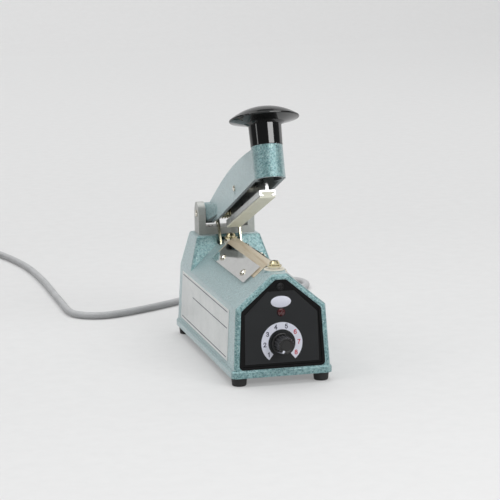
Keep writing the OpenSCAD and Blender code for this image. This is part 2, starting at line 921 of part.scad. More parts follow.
module transformer_strap() color(steel) on_core()
    difference() {
        union() {
            prism_y(-strap_y / 2, strap_y / 2)
                difference() {
                    translate([-core_x - strap_t, base_top]) square([core_w + 2 * strap_t, core_h + strap_t]);
                    translate([-core_x, base_top - cut]) square([core_w, core_h + cut]);
                }
            both_ways()
                block_of(
                    [core_x + strap_t / 2, tuck - strap_y / 2, base_top],
                    [core_x + strap_t + strap_foot, strap_y / 2 - tuck, base_top + strap_t]
                );
        }
        both_ways() translate([strap_screw_x, 0]) rod_z(small_hole, 0, base_top + strap_t + cut);
    }

module transformer_screws() color(steel) on_core()
    both_ways()
        translate([strap_screw_x, 0, plate_z])
            mirror([0, 0, 1]) screw(small_head_r, small_head_h, under_r, under_l);

// Switch under the rear block

module microswitch_body() color(black) row()
    difference() {
        block_of([-switch_x, switch_y, switch_low], [switch_x, switch_y + switch_l, switch_top]);
        translate([0, 0, press_z])
            rod_y(button_r + turn_fit, switch_y - cut, switch_y + button_in + button_travel + 0.5);
        for (z = switch_screw_z)
            translate([0, switch_screw_y, z]) rod_x(small_hole, -switch_x - cut, switch_x + cut);
    }

module switch_button() color("#b3262a") row()
    translate([0, 0, press_z]) {
        rod_y(button_r, switch_y - button_out + 0.6, switch_y + button_in);
        translate([0, switch_y - button_out + 0.6, 0])
            rotate([90, 0, 0]) rotate_extrude()
                polygon([[0, -0.2], [button_r, 0], [button_r - 0.6, 0.6], [0, 0.6]]);
    }

module switch_bracket() color(steel) row()
    difference() {
        union() {
            block_of(
                [switch_x, stand_y0, base_top],
                [switch_x + stand_t, stand_y0 + stand_l, switch_top - 0.8]
            );
            block_of(
                [switch_x + stand_t / 2, stand_y0 + tuck, base_top],
                [switch_x + stand_t + stand_foot, stand_y0 + stand_l - tuck, base_top + stand_t]
            );
        }
        for (z = switch_screw_z)
            translate([0, switch_screw_y, z]) rod_x(small_hole, switch_x - cut, switch_x + stand_t + cut);
        for (y = stand_screw_y)
            translate([stand_screw_x, y]) rod_z(small_hole, base_top - cut, base_top + stand_t + cut);
    }

module switch_screws() color(steel) row() {
    for (z = switch_screw_z)
        translate([-switch_x, switch_screw_y, z])
            rotate([0, -90, 0])
                screw(switch_head_r, small_head_h, small_r, 2 * switch_x + stand_t + switch_screw_over);
    for (y = stand_screw_y)
        translate([stand_screw_x, y, plate_z])
            mirror([0, 0, 1]) screw(small_head_r, small_head_h, under_r, under_l);
}

// Sealing bed on the ridge

module heater_bar() color("#a9adb0") row()
    difference() {
        prism_y(heater_y0, heater_y1)
            polygon([
                [-ridge_x, ridge_z], [ridge_x, ridge_z], [heater_top_x, heater_z], [-heater_top_x, heater_z]
            ]);
        for (y = [heater_y0 + heater_end, heater_y1 - heater_end])
            translate([0, y]) rod_z(small_hole - 0.6, ridge_z - cut, heater_z - 1);
    }

module heater_screws() color(steel) row()
    for (y = [heater_y0 + heater_end, heater_y1 - heater_end])
        translate([0, y, ridge_z - wall])
            mirror([0, 0, 1]) screw(small_head_r - 0.6, small_head_h, small_r - 0.6, wall + heater_h - 1.2);

// Flat strip from the front terminal over the heater bar and down to the rear terminal
module heating_element() color("#8c8f93") row()
    difference() {
        union() {
            prism_x(-element_w / 2, element_w / 2)
                polygon([
                    [front_post_y, heater_z], [heater_y1 + 1.5, heater_z],
                    [rear_post_y - 6, rear_post_z], [rear_post_y, rear_post_z],
                    [rear_post_y, rear_post_z + element_t], [rear_post_y - 6 + 0.1, rear_post_z + element_t],
                    [heater_y1 + 1.5 + 0.1, element_z], [front_post_y, element_z]
                ]);
            translate([0, front_post_y]) rod_z(element_ring_r, heater_z, element_z);
            translate([0, rear_post_y]) rod_z(element_ring_r, rear_post_z, rear_post_z + element_t);
        }
        translate([0, front_post_y]) rod_z(large_hole, heater_z - cut, element_z + cut);
        translate([0, rear_post_y]) rod_z(large_hole, rear_post_z - cut, rear_post_z + cut);
    }

// Cloth over the element: a tent with its sides on the slopes
module ptfe_cloth() color("#b9a88c") row() {
    out = [sin(slope_a), cos(slope_a)];
    hem = [ridge_x + cloth_s * cos(slope_a), ridge_z - cloth_s * sin(slope_a)];
    eaves = [heater_top_x, heater_z];
    crest = [element_w / 2, element_z];
    half = [hem, eaves, crest];
    skin = [hem + cloth_t * out, eaves + cloth_t * out, crest + [0.05, cloth_t]];
    prism_y(heater_y0 - cloth_over, heater_y1 + cloth_over)
        polygon(concat(
            half,
            [for (i = [2 : -1 : 0]) [-half[i][0], half[i][1]]],
            [for (i = [0 : 2]) [-skin[i][0], skin[i][1]]],
            [for (i = [2 : -1 : 0]) skin[i]]
        ));
}

module clamp_plate(side)
    on_slope(side)
        difference() {
            translate([plate_s + plate_w / 2, (heater_y0 + heater_y1) / 2, cloth_t])
                linear_extrude(plate_t) rounded(plate_w, heater_y1 - heater_y0 - 2 * plate_in, 0.8);
            for (y = [heater_y0 + clamp_end, heater_y1 - clamp_end])
                translate([clamp_s, y]) rod_z(small_hole, -cut, cloth_t + plate_t + cut);
        }

module clamp_plate_left() color(steel) row() clamp_plate(-1);
module clamp_plate_right() color(steel) row() clamp_plate(1);

module clamp_screws() color(steel) row()
    for (s = [-1, 1]) for (y = [heater_y0 + clamp_end, heater_y1 - clamp_end])
        on_slope(s)
            translate([clamp_s, y, cloth_t + plate_t])
                screw(small_head_r, clamp_head_h, small_r, cloth_t + plate_t + wall + 1);

module terminal_posts() color(steel) row() {
    translate([0, front_post_y])
        difference() {
            rod_z(post_r, ridge_z + terminal_boss_rise + insulator_t, heater_z);
            rod_z(large_hole, ridge_z, heater_z + cut);
        }
    translate([0, rear_post_y])
        difference() {
            rod_z(post_r, notch_z + rear_insulator_t, rear_post_z);
            rod_z(large_hole, notch_z, rear_post_z + cut);
        }
}

// Insulating washer with a bush that goes down through the casting
module insulator(r, t, bush)
    difference() {
        union() {
            rod_z(r, 0, t);
            rod_z(bush_out_r, -bush, t / 2);
        }
        rod_z(large_hole, -bush - cut, t + cut);
    }

module terminal_insulators() color("#e4e0d4") row() {
    translate([0, front_post_y, ridge_z + terminal_boss_rise])
        insulator(insulator_r, insulator_t, terminal_boss_h);
    translate([0, rear_post_y, notch_z])
        insulator(rear_insulator_r, rear_insulator_t, notch_floor_t);
}

module terminal_screw()
    union() {
        rod_z(terminal_washer_r, 0, terminal_washer_t);
        translate([0, 0, terminal_washer_t - tuck])
            screw(terminal_head_r, terminal_head_h, large_r, terminal_l);
    }

module terminal_screws() color(steel) row() {
    translate([0, front_post_y, element_z]) terminal_screw();
    translate([0, rear_post_y, rear_post_z + element_t]) terminal_screw();
}

// Hinge

module hinge_bracket() color(grey) row()
    difference() {
        union() {
            translate([0, pivot_y, block_z])
                block_of([-bracket_w / 2, -ear_r, 0], [bracket_w / 2, ear_r, bracket_base]);
            for (s = [-1, 1])
                translate([0, pivot_y, pivot_z])
                    prism_x(s < 0 ? -bracket_w / 2 : ear_in, s < 0 ? -ear_in : bracket_w / 2)
                        hull() {
                            translate([0, ear_up]) circle(ear_top_r);
                            translate([-ear_r, -hinge_rise + tuck]) square([2 * ear_r, hinge_rise - tuck]);
                        }
        }
        translate([0, pivot_y, pivot_z]) rod_x(pin_r + turn_fit, -bracket_w, bracket_w);
        for (s = [-1, 1])
            translate([s * bracket_screw_x, pivot_y, block_z]) {
                rod_z(large_hole, -cut, bracket_base + cut);
                rod_z(bracket_head_r + seat_fit, bracket_base - bracket_head_h, bracket_base + cut);
            }
    }

module hinge_pin() color(steel) row()
    translate([-bracket_w / 2 - 1, pivot_y, pivot_z]) rotate([0, 90, 0])
        rotate_extrude()
            polygon([
                [0, 0], [pin_r - 0.6, 0], [pin_r, 0.6], [pin_r, bracket_w + 1.4],
                [pin_r - 0.6, bracket_w + 2], [0, bracket_w + 2]
            ]);

module bracket_screws() color(steel) row()
    for (s = [-1, 1])
        translate([s * bracket_screw_x, pivot_y, block_z + bracket_base - bracket_head_h])
            screw(bracket_head_r, bracket_head_h, large_r, bracket_base - bracket_head_h + bracket_screw_l);

// Torsion spring: one leg stands on the bracket, the other lifts the arm
spring_leg_low = block_z + bracket_base + spring_seat;
function spring_at(a) = [
    spring_x0 + spring_pitch * a / 360,
    pivot_y + spring_r * cos(a),
    pivot_z + spring_r * sin(a)
];
spring_end = spring_at(spring_sweep);
spring_way = [0, -sin(spring_end_a), cos(spring_end_a)];
spring_path = concat(
    [[spring_x0, pivot_y + spring_r, spring_leg_low], [spring_x0, pivot_y + spring_r, spring_leg_low + 3]],
    [for (i = [0 : spring_steps]) spring_at(spring_sweep * i / spring_steps)],
    [spring_end + spring_way * (spring_leg - 3), spring_end + spring_way * spring_leg]
);

module return_spring() color(steel) row() tube(spring_path, wire_d / 2, 6, [1, 0, 0]);

// Arm, measured forward from the hinge pin and up from its hinge line

// Arched top of the arm, from the barrel's end at t = 0 to the boss at t = 1
function beam_at(t) = [
    beam_step_u + (arm_l - beam_step_u) * t,
    beam_step_o + (beam_end_o - beam_step_o) * t + 4 * beam_rise * t * (1 - t)
];
beam_arch = [for (i = [0 : beam_steps]) beam_at(i / beam_steps)];

module beam()
    hull() {
        rod_x(beam_r, -arm_w / 2, arm_w / 2, $fn = 32);
        for (s = [-1, 1]) for (p = beam_arch)
            translate([s * (arm_w / 2 - beam_edge), -p[0], p[1] - beam_edge]) sphere(beam_edge, $fn = 24);
        for (u = [beam_step_u, arm_l])
            translate([0, -u, beam_low + 0.5]) rod_x(0.5, -arm_w / 2, arm_w / 2, $fn = 16);
    }

// Flare from the barrel into the sides of the arm
module gusset()
    hull() {
        rod_x(beam_r - tuck, -knuckle_x, knuckle_x, $fn = 32);
        translate([0, -gusset_u, gusset_o]) rod_x(gusset_r, tuck - arm_w / 2, arm_w / 2 - tuck, $fn = 32);
    }

module beam_room() {
    low = beam_low - 20;
    end = arm_l - boss_r + arm_wall + 1;
    prism_x(-arm_in, arm_in)
        intersection() {
            translate([-end, low]) square([end, barrel_r + arm_l]);
            polygon(concat(
                [[0, spring_room - 0.5], [0, low], [-arm_l, low]],
                [for (i = [beam_steps : -1 : 0]) [-beam_arch[i][0], beam_arch[i][1] - roof_t]]
            ));
        }
    rod_x(spring_room, -arm_in, arm_in);
    block_of([-arm_in, -1, low], [arm_in, barrel_r + cut, spring_room / 2]);
}

module arm_casting() color(teal) row() on_arm()
    difference() {
        union() {
            difference() {
                union() {
                    beam();
                    gusset();
                    rod_x(barrel_r, -knuckle_x, knuckle_x);
                    on_boss() rod_z(boss_r, boss_low, boss_top);
                }
                beam_room();
            }
        }
        on_boss() {
            rod_z(boss_r - arm_wall, boss_low - cut, boss_top - boss_top_t);
            rod_z(stud_r + screw_fit, 0, boss_top + cut);
        }
        rod_x(pin_r + turn_fit, -bracket_w, bracket_w);
        translate([0, -bar_reach, -bar_drop]) rod_x(bar_pin_r + turn_fit, -arm_w, arm_w);
        translate([0, -bar_reach, -bar_drop - oil_low]) rod_x(oil_r, -arm_w, arm_w, $fn = 16);
        for (s = [-1, 1]) for (o = fork_screw_o)
            translate([0, -fork_screw_u, o])
                rod_x(
                    fork_screw_r + screw_fit,
                    s < 0 ? -arm_in - fork_bite : 0,
                    s < 0 ? 0 : arm_in + fork_bite
                );
    }

// Mushroom knob: neck, flared underside, rim and dome
module handle_knob() color(black) row() on_arm() on_boss() {
    neck_r = boss_r + 0.1;
    flare_h = 5.2;
    flare_foot = [3.2, 1.7];
    rim_r = 0.8;
    rim_out = rim_r * cos(45);
    rim_z = knob_h - dome_h;
    throat_r = neck_r + 0.4;
    throat = [throat_r, rim_z - flare_h];
    flare_a = atan2(flare_h - rim_r - flare_foot[1], knob_r - rim_r - throat_r - flare_foot[0]);
    dome_rise = dome_h - rim_out;
    dome_x = knob_r - rim_r + rim_out;
    dome_r = (dome_x * dome_x + dome_rise * dome_rise) / (2 * dome_rise);
    dome_a = asin(dome_x / dome_r);
    translate([0, 0, boss_top])
        rotate_extrude($fn = 72)
            difference() {
                polygon(concat(
                    [[0, 0], [neck_r - 0.4, 0], [neck_r, 0.4], throat, throat + flare_foot],
                    arc([knob_r - rim_r, rim_z], rim_r, flare_a - 90, 45, 6),
                    arc([0, knob_h - dome_r], dome_r, 90 - dome_a, 90, 7)
                ));
                translate([0, -cut]) square([stud_r + screw_fit, stud_up + cut + 0.2]);
            }
}

module knob_stud() color(steel) row() on_arm() on_boss()
    translate([0, 0, boss_top - boss_top_t]) {
        rod_z(stud_r, -tuck, boss_top_t + stud_up);
        translate([0, 0, -stud_head_h]) cylinder(r = stud_head_r, h = stud_head_h, $fn = 6);
    }

module switch_fork() color(steel) row() on_arm()
    difference() {
        union() {
            for (s = [-1, 1])
                block_of(
                    [s < 0 ? -fork_x : fork_x - fork_t, -fork_u1, fork_low],
                    [s < 0 ? fork_t - fork_x : fork_x, -fork_u0, fork_top]
                );
            block_of(
                [-fork_x + tuck, -fork_u1 + tuck, fork_low + tuck],
                [fork_x - tuck, -fork_u0, fork_low + fork_t]
            );
        }
        for (o = fork_screw_o)
            translate([0, -fork_screw_u, o]) rod_x(fork_screw_r + screw_fit, -arm_w, arm_w);
    }

module fork_screws() color(steel) row() on_arm()
    for (s = [-1, 1]) for (o = fork_screw_o)
        translate([s * (fork_x - fork_t), -fork_screw_u, o])
            rotate([0, -90 * s, 0])
                screw(fork_head_r, fork_head_h, fork_screw_r, fork_t + fork_fit + fork_bite - 0.3);

module bar_pin() color(steel) row() on_arm()
    translate([0, -bar_reach, -bar_drop]) {
        rod_x(bar_pin_r, -arm_w / 2 - 0.1 - tuck, arm_w / 2 + 0.1 + tuck);
        translate([-arm_w / 2 - 0.1, 0, 0]) rotate([0, -90, 0])
            rotate_extrude()
                polygon([
                    [0, 0], [pin_head_r, 0], [pin_head_r, 0.5 * pin_head_t],
                    [pin_head_r - pin_head_edge, pin_head_t], [0, pin_head_t]
                ]);
        translate([arm_w / 2 + 0.1, 0, 0]) rotate([0, 90, 0])
            rotate_extrude()
                polygon([[0, 0], [rivet_r, 0], [rivet_r - 0.5, rivet_t], [0, rivet_t]]);
    }

module bar_spacers() color(steel) row() on_arm()
    for (s = [-1, 1])
        translate([0, -bar_reach, -bar_drop])
            difference() {
                rod_x(
                    spacer_r,
                    s < 0 ? 0.2 - arm_in : web_t / 2 + 0.15,
                    s < 0 ? -web_t / 2 - 0.15 : arm_in - 0.2
                );
                rod_x(bar_pin_r + turn_fit, -arm_w, arm_w);
            }

// Extruded bar: an upright web on a channel whose lips hold the strip
module pressure_bar() color("#a7abad") row() on_bar()
    difference() {
        translate([0, 0, -bar_depth])
            prism_y(-bar_front, bar_rear) {
                difference() {
                    translate([-bar_w / 2, lip_low]) square([bar_w, channel_top - lip_low]);
                    translate([channel_wall - bar_w / 2, lip_low + lip_t])
                        square([bar_w - 2 * channel_wall, channel_low - lip_low - lip_t]);
                    translate([channel_wall + lip_w - bar_w / 2, 0])
                        square([bar_w - 2 * channel_wall - 2 * lip_w, lip_low + lip_t + tuck]);
                }
                translate([-web_t / 2, channel_top - tuck])
                    square([web_t, bar_depth + web_over - channel_top + tuck]);
            }
        rod_x(bar_pin_r + turn_fit, -bar_w, bar_w);
    }

module silicone_pad() color("#e3e2d3") row() on_bar() {
    neck_x = bar_w / 2 - channel_wall - lip_w - pad_fit;
    head_x = bar_w / 2 - channel_wall - pad_fit;
    head_low = lip_low + lip_t + pad_fit;
    translate([0, 0, -bar_depth])
        prism_y(0.5 - bar_front, bar_rear - 0.5) {
            translate([0.1 - bar_w / 2, 0]) square([bar_w - 0.2, pad_face_t]);
            translate([-neck_x, pad_face_t - tuck]) square([2 * neck_x, head_low - pad_face_t + 2 * tuck]);
            translate([-head_x, head_low]) square([2 * head_x, channel_low - pad_fit - head_low]);
        }
}

// Mains lead

// Radius of the strain relief's taper at a distance y behind its collar's face
function relief_at(y) =
    relief_r + 1 - (relief_r + 1 - relief_tip_r) * (y - relief_collar_t) / (relief_l - relief_collar_t);

// Moulded sleeve with a collar outside the wall, a ring inside it and a ribbed taper
module strain_relief() color("#8c8c8c") row() {
    ribs = 5;
    rib = (relief_l - relief_collar_t - 3) / ribs;
    translate([0, relief_y, relief_z]) rotate([-90, 0, 0])
        rotate_extrude()
            polygon(concat(
                [[0, rear_in - relief_y - relief_ring_t - 0.1]],
                [[relief_r + 1.6, rear_in - relief_y - relief_ring_t - 0.1]],
                [[relief_r + 1.6, rear_in - relief_y - 0.1], [relief_r, rear_in - relief_y - 0.1]],
                [[relief_r, 0], [relief_collar_r, 0], [relief_collar_r, relief_collar_t]],
                [for (i = [0 : ribs - 1]) let (y = relief_collar_t + rib * i) each [
                    [relief_at(y), y + 0.01], [relief_at(y), y + 0.6 * rib],
                    [relief_at(y) - 0.7, y + 0.65 * rib], [relief_at(y) - 0.7, y + 0.95 * rib]
                ]],
                [[relief_tip_r, relief_l - 3], [relief_tip_r, relief_l - 0.5]],
                [[relief_tip_r - 0.5, relief_l], [0, relief_l]]
            ));
}

function coil_at(a) =
    let (half = coil_turn / 2, r = coil_r - coil_pitch * (half - abs(a - half)) / 360)
    let (climb = min(1, max(0, (a - half + 90) / 180)), q = coil_from + a)
    [
        coil_c[0] + r * cos(q),
        coil_c[1] + r * sin(q),
        coil_low + coil_pitch * (1 - cos(180 * climb)) / 2
    ];
coil_way = unit(coil_at(1) - coil_at(0));
coil_mouth = coil_at(0) - coil_way * cord_d;
coil_last = coil_at(coil_turn);
coil_path = concat(
    [coil_mouth],
    [for (i = [0 : coil_steps]) coil_at(coil_turn * i / coil_steps)],
    [for (i = [1 : 3]) coil_last - [0, coil_tail * i / 3, 0]]
);

// Route of the lead over the floor, from the strain relief to the coil
relief_tip = [0, relief_tip_y - origin_y, relief_z];
cord_route = [
    relief_tip, relief_tip + [0, 8, 0], [1, 158, 23.2], [6, 172, 20], [20, 188, 14], [40, 202, 8],
    [62, 214, 4.5], [84, 227, 3.3], [104, 240, 3.3], [116, 254, 3.3],
    [117, 272, 3.3], [105, 287.5, 3.3], [87, 291.5, 3.3],
    [68, 283, 3.3], [45, 265, 3.3], [16, 242, 3.3], [-13, 220.5, 3.3], [-45, 199.5, 3.3], [-76, 183.5, 3.3],
    [-95, 180.5, 3.3], [-110.5, 189, 3.3], [-117, 206, 3.3], [-118, 246, 3.3], [-118.5, 296, 3.3],
    [-119, 346, 3.3], [-121, 393, 3.3], [-125, 436, 3.3], [-131, 470, 3.3], [-138, 498, 3.5], [-147, 524, 4],
    coil_mouth - coil_way * 9, coil_mouth
];

module cord_lead() color("#9a9a9a") tube(doubled(cord_route), cord_r, 10, [0, 0, 1]);
module cord_coil() color("#9a9a9a") tube(coil_path, cord_r, 6, [0, 0, 1]);

// Flat band round the coil's bundle
module coil_tie() color(black)
    translate([coil_c[0], coil_c[1], 0]) rotate([0, 0, tie_a])
        rotate([90, 0, 0]) translate([0, 0, -tie_w / 2]) linear_extrude(tie_w) {
            r0 = coil_r - coil_pitch * coil_turn / 720 - cord_r - tie_room;
            r1 = coil_r + cord_r + tie_room;
            h = coil_pitch + cord_d + tie_room;
            translate([(r0 + r1) / 2, tie_t + h / 2])
                difference() {
                    rounded(r1 - r0 + 2 * tie_t, h + 2 * tie_t, 4);
                    rounded(r1 - r0, h, 4 - tie_t);
                }
        }

plug_rear = coil_last - [0, coil_tail, 0];

module plug_body() color("#8c8c8c")
    translate(plug_rear)
        difference() {
            union() {
                prism_y(-plug_l, -0.45 * plug_l) rounded(plug_w, plug_h, plug_r);
                rotate([90, 0, 0])
                    rotate_extrude()
                        polygon([
                            [0, 0], [cord_r + 1.2, 0], [cord_r + 2.4, 0.15 * plug_l], [9.5, 0.42 * plug_l],
                            [10.5, 0.5 * plug_l], [0, 0.5 * plug_l]
                        ]);
            }
            for (s = [-1, 1])
                block_of(
                    [s * blade_x - blade_t / 2 - 0.02, -plug_l - cut, 1 - blade_w / 2 - 0.02],
                    [s * blade_x + blade_t / 2 + 0.02, 4 - plug_l, 1 + blade_w / 2 + 0.02]
                );
            translate([0, 0, earth_z]) rod_y(earth_r + 0.02, -plug_l - cut, 4 - plug_l);
        }

module plug_blades() color(brass)
    translate(plug_rear) {
        for (s = [-1, 1])
            block_of(
                [s * blade_x - blade_t / 2, -plug_l - blade_l, 1 - blade_w / 2],
                [s * blade_x + blade_t / 2, 4 - plug_l, 1 + blade_w / 2]
            );
        translate([0, -plug_l + 4, earth_z]) rotate([90, 0, 0])
            rotate_extrude()
                polygon([
                    [0, 0], [earth_r, 0], [earth_r, blade_l + 4],
                    [earth_r - 1.2, blade_l + 6], [0, blade_l + 6]
                ]);
    }

echo(arm_travel = arm_travel, bar_travel = bar_travel);
echo(origin_y = origin_y, pivot = [pivot_y - origin_y, pivot_z]);
echo(spring_gap = least_gap(spring_path, wire_d, 6));
echo(coil_gap = least_gap(coil_path, cord_d, 14));

housing();
base_plate();
rubber_feet();
foot_screws();
front_panel();
panel_label();
panel_screw();
indicator_lens();
lamp_body();
timer_knob();
timer_pot();
pot_shaft();
pot_nut();
timer_board();
relay();
capacitors();
transformer_core();
transformer_winding();
transformer_strap();
transformer_screws();
microswitch_body();
switch_button();
switch_bracket();
switch_screws();
heater_bar();
heater_screws();
heating_element();
ptfe_cloth();
clamp_plate_left();
clamp_plate_right();
clamp_screws();
terminal_posts();
terminal_insulators();
terminal_screws();
hinge_bracket();
hinge_pin();
bracket_screws();
return_spring();
arm_casting();
handle_knob();
knob_stud();
switch_fork();
fork_screws();
bar_pin();
bar_spacers();
pressure_bar();
silicone_pad();
strain_relief();
cord_lead();
cord_coil();
coil_tie();
plug_body();
plug_blades();
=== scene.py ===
"""Looks of a hand impulse sealer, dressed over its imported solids.

Sizes in the classes are millimetres in the row frame, as on a maker's drawing, and turn to metres
where a mesh, a lamp or the camera is made.
"""

import json
import logging
import math
from dataclasses import dataclass, replace
from enum import Enum

import bmesh
import bpy
import numpy as np
from mathutils import Matrix, Quaternion, Vector


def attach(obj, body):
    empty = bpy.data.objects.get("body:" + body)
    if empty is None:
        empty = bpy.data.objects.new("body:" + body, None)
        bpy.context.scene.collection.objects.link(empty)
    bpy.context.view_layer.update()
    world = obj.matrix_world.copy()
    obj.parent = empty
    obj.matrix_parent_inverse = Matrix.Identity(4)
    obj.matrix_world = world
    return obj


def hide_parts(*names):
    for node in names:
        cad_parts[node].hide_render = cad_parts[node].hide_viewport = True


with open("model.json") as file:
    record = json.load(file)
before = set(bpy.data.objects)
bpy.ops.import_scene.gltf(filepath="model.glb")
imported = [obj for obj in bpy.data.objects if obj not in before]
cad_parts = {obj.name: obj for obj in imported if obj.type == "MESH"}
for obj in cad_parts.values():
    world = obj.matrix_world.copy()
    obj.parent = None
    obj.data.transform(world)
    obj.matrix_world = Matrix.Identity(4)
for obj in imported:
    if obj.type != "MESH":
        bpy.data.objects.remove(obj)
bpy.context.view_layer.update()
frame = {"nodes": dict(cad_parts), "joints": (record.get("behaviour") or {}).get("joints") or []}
LOG = logging.getLogger("sealer")
MM = 0.001
# Points of a mesh that lie closer than this, in metres, are joined
SEAM = 1e-7
# Height of a plate's bevel for each millimetre of its width
BEVEL_RISE = 0.6
# Layers of detail in a fine grain and in a broad mottle
FINE_DETAIL = 3.0
BROAD_DETAIL = 2.0
# Least roughness that a finish reaches
SMOOTHEST = 0.02
# Length of one wave of the wave texture at a scale of 1
WAVE = math.tau / 20.0


class Body(str, Enum):
    """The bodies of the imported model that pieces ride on."""

    BASE = "base"
    ARM = "arm"
    BAR = "pressure_bar"
    KNOB = "timer_knob"


class Pattern(Enum):
    """Ways in which a surface was made, each with its own grain."""

    MOULDED = "moulded"
    PLATED = "plated"
    DRAWN = "drawn"
    ROLLED = "rolled"


# Colour and shader nodes


def linear(code: str) -> tuple[float, float, float, float]:
    """Linear colour of an sRGB hex value.

    Args:
        code: Colour as "#rrggbb".

    Returns:
        Red, green, blue and alpha for a shader socket.
    """
    srgb = np.array([int(code[i : i + 2], 16) for i in (1, 3, 5)]) / 255.0
    rgb = np.where(srgb <= 0.04045, srgb / 12.92, ((srgb + 0.055) / 1.055) ** 2.4)
    return (*(float(c) for c in rgb), 1.0)


def add(
    tree: bpy.types.NodeTree,
    kind: str,
    inputs: dict | None = None,
    **settings: object,
) -> bpy.types.Node:
    """Add a shader node with its settings, its constant inputs and its links.

    Args:
        tree: Node tree that takes the node.
        kind: Node type after "ShaderNode".
        inputs: Constant, or output socket to link, for each input by name or number.
        settings: Properties of the node itself.

    Returns:
        The new node.
    """
    node = tree.nodes.new(f"ShaderNode{kind}")
    for name, value in settings.items():
        setattr(node, name, value)
    for socket, value in (inputs or {}).items():
        if isinstance(value, bpy.types.NodeSocket):
            tree.links.new(value, node.inputs[socket])
        else:
            node.inputs[socket].default_value = value
    return node


def wire(tree: bpy.types.NodeTree, shader: bpy.types.Node, sources: dict) -> None:
    """Link output sockets to the inputs of a finished shader, by name."""
    for name, source in sources.items():
        tree.links.new(source, shader.inputs[name])


def per_mm(size: float) -> float:
    """Scale of a texture whose features are size millimetres apart."""
    return 1.0 / (size * MM)


# Finishes


@dataclass(frozen=True)
class Finish:
    """A surface finish: its colours, its gloss and the size of its grain.

    Attributes:
        name: Material's name, after the real material and how it was made.
        colour: Main colour.
        shade: Second colour, which the grain or wear mixes in.
        roughness: Mean roughness.
        metallic: 1 for bare metal.
        coat: Weight of a clear layer.
        coat_roughness: Roughness of the clear layer.
        pattern: How the surface was made.
        grain: Spacing of the grain in millimetres.
        relief: Depth of the grain in millimetres.
        spread: How far the roughness wanders from its mean.
        gleam: Specular level, 0.5 for a common plastic.
        sheen: Weight of the pale bloom at a glancing view.
        sheen_roughness: Breadth of the bloom.
        sheen_tint: Colour of the bloom.
        bump: Strength of the relief.
        marks: Spacing of the handling marks in millimetres.
        wear_span: Levels of grain times marks between which the second colour comes in.
        gloss_span: Levels of the marks between which the roughness wanders.
    """

    name: str
    colour: str
    shade: str
    roughness: float
    metallic: float = 0.0
    coat: float = 0.0
    coat_roughness: float = 0.1
    pattern: Pattern = Pattern.MOULDED
    grain: float = 0.8
    relief: float = 0.02
    spread: float = 0.08
    gleam: float = 0.5
    sheen: float = 0.0
    sheen_roughness: float = 0.42
    sheen_tint: str = "#eefcff"
    bump: float = 0.6
    marks: float = 14.0
    wear_span: tuple = (0.12, 0.42)
    gloss_span: tuple = (0.3, 0.7)

    def material(self) -> bpy.types.Material:
        """Make the material, or find it where it was made before.

        Returns:
            The material with its nodes.
        """
        made = bpy.data.materials.get(self.name)
        if made:
            return made
        made = bpy.data.materials.new(self.name)
        made.use_nodes = True
        tree = made.node_tree
        tree.nodes.clear()
        sockets = {
            "Base Color": linear(self.colour),
            "Roughness": self.roughness,
            "Metallic": self.metallic,
            "Coat Weight": self.coat,
            "Coat Roughness": self.coat_roughness,
            "Specular IOR Level": self.gleam,
            "Sheen Weight": self.sheen,
            "Sheen Roughness": self.sheen_roughness,
            "Sheen Tint": linear(self.sheen_tint),
        }
        shader = add(tree, "BsdfPrincipled", sockets)
        add(tree, "OutputMaterial", {"Surface": shader.outputs[0]})
        self.surface(tree, shader)
        return made

    def stretch(self) -> tuple[float, float, float]:
        """Scale of the grain on each axis: long along Y where the metal was drawn or rolled."""
        return {
            Pattern.MOULDED: (1.0, 1.0, 1.0),
            Pattern.PLATED: (1.0, 1.0, 1.0),
            Pattern.DRAWN: (1.0, 0.02, 1.0),
            Pattern.ROLLED: (1.0, 0.12, 1.0),
        }[self.pattern]

    def gloss_ends(self) -> dict[str, float]:
        """Lowest and highest roughness, as the ends of a range."""
        low = max(SMOOTHEST, self.roughness - self.spread)
        return {"To Min": low, "To Max": self.roughness + self.spread}

    def surface(self, tree: bpy.types.NodeTree, shader: bpy.types.Node) -> None:
        """Give the shader its grain: a fine noise for relief and a broad one for handling marks.

        Args:
            tree: Material's node tree.
            shader: Its principled shader.
        """
        place = add(tree, "TexCoord").outputs["Object"]
        along = add(tree, "Mapping", {"Vector": place, "Scale": self.stretch()}).outputs[0]
        grain = {"Vector": along, "Scale": per_mm(self.grain), "Detail": FINE_DETAIL}
        fine = add(tree, "TexNoise", grain).outputs["Fac"]
        marks = {"Vector": place, "Scale": per_mm(self.marks), "Detail": BROAD_DETAIL}
        broad = add(tree, "TexNoise", marks).outputs["Fac"]
        wear = add(tree, "Math", {0: fine, 1: broad}, operation="MULTIPLY").outputs[0]
        low, high = self.wear_span
        share = add(tree, "MapRange", {"Value": wear, "From Min": low, "From Max": high}).outputs[0]
        shades = {0: share, 6: linear(self.colour), 7: linear(self.shade)}
        colour = add(tree, "Mix", shades, data_type="RGBA").outputs[2]
        low, high = self.gloss_span
        wander = {"Value": broad, "From Min": low, "From Max": high, **self.gloss_ends()}
        gloss = add(tree, "MapRange", wander).outputs[0]
        depth = {"Height": fine, "Strength": self.bump, "Distance": self.relief * MM}
        relief = add(tree, "Bump", depth).outputs[0]
        wire(tree, shader, {"Base Color": colour, "Roughness": gloss, "Normal": relief})


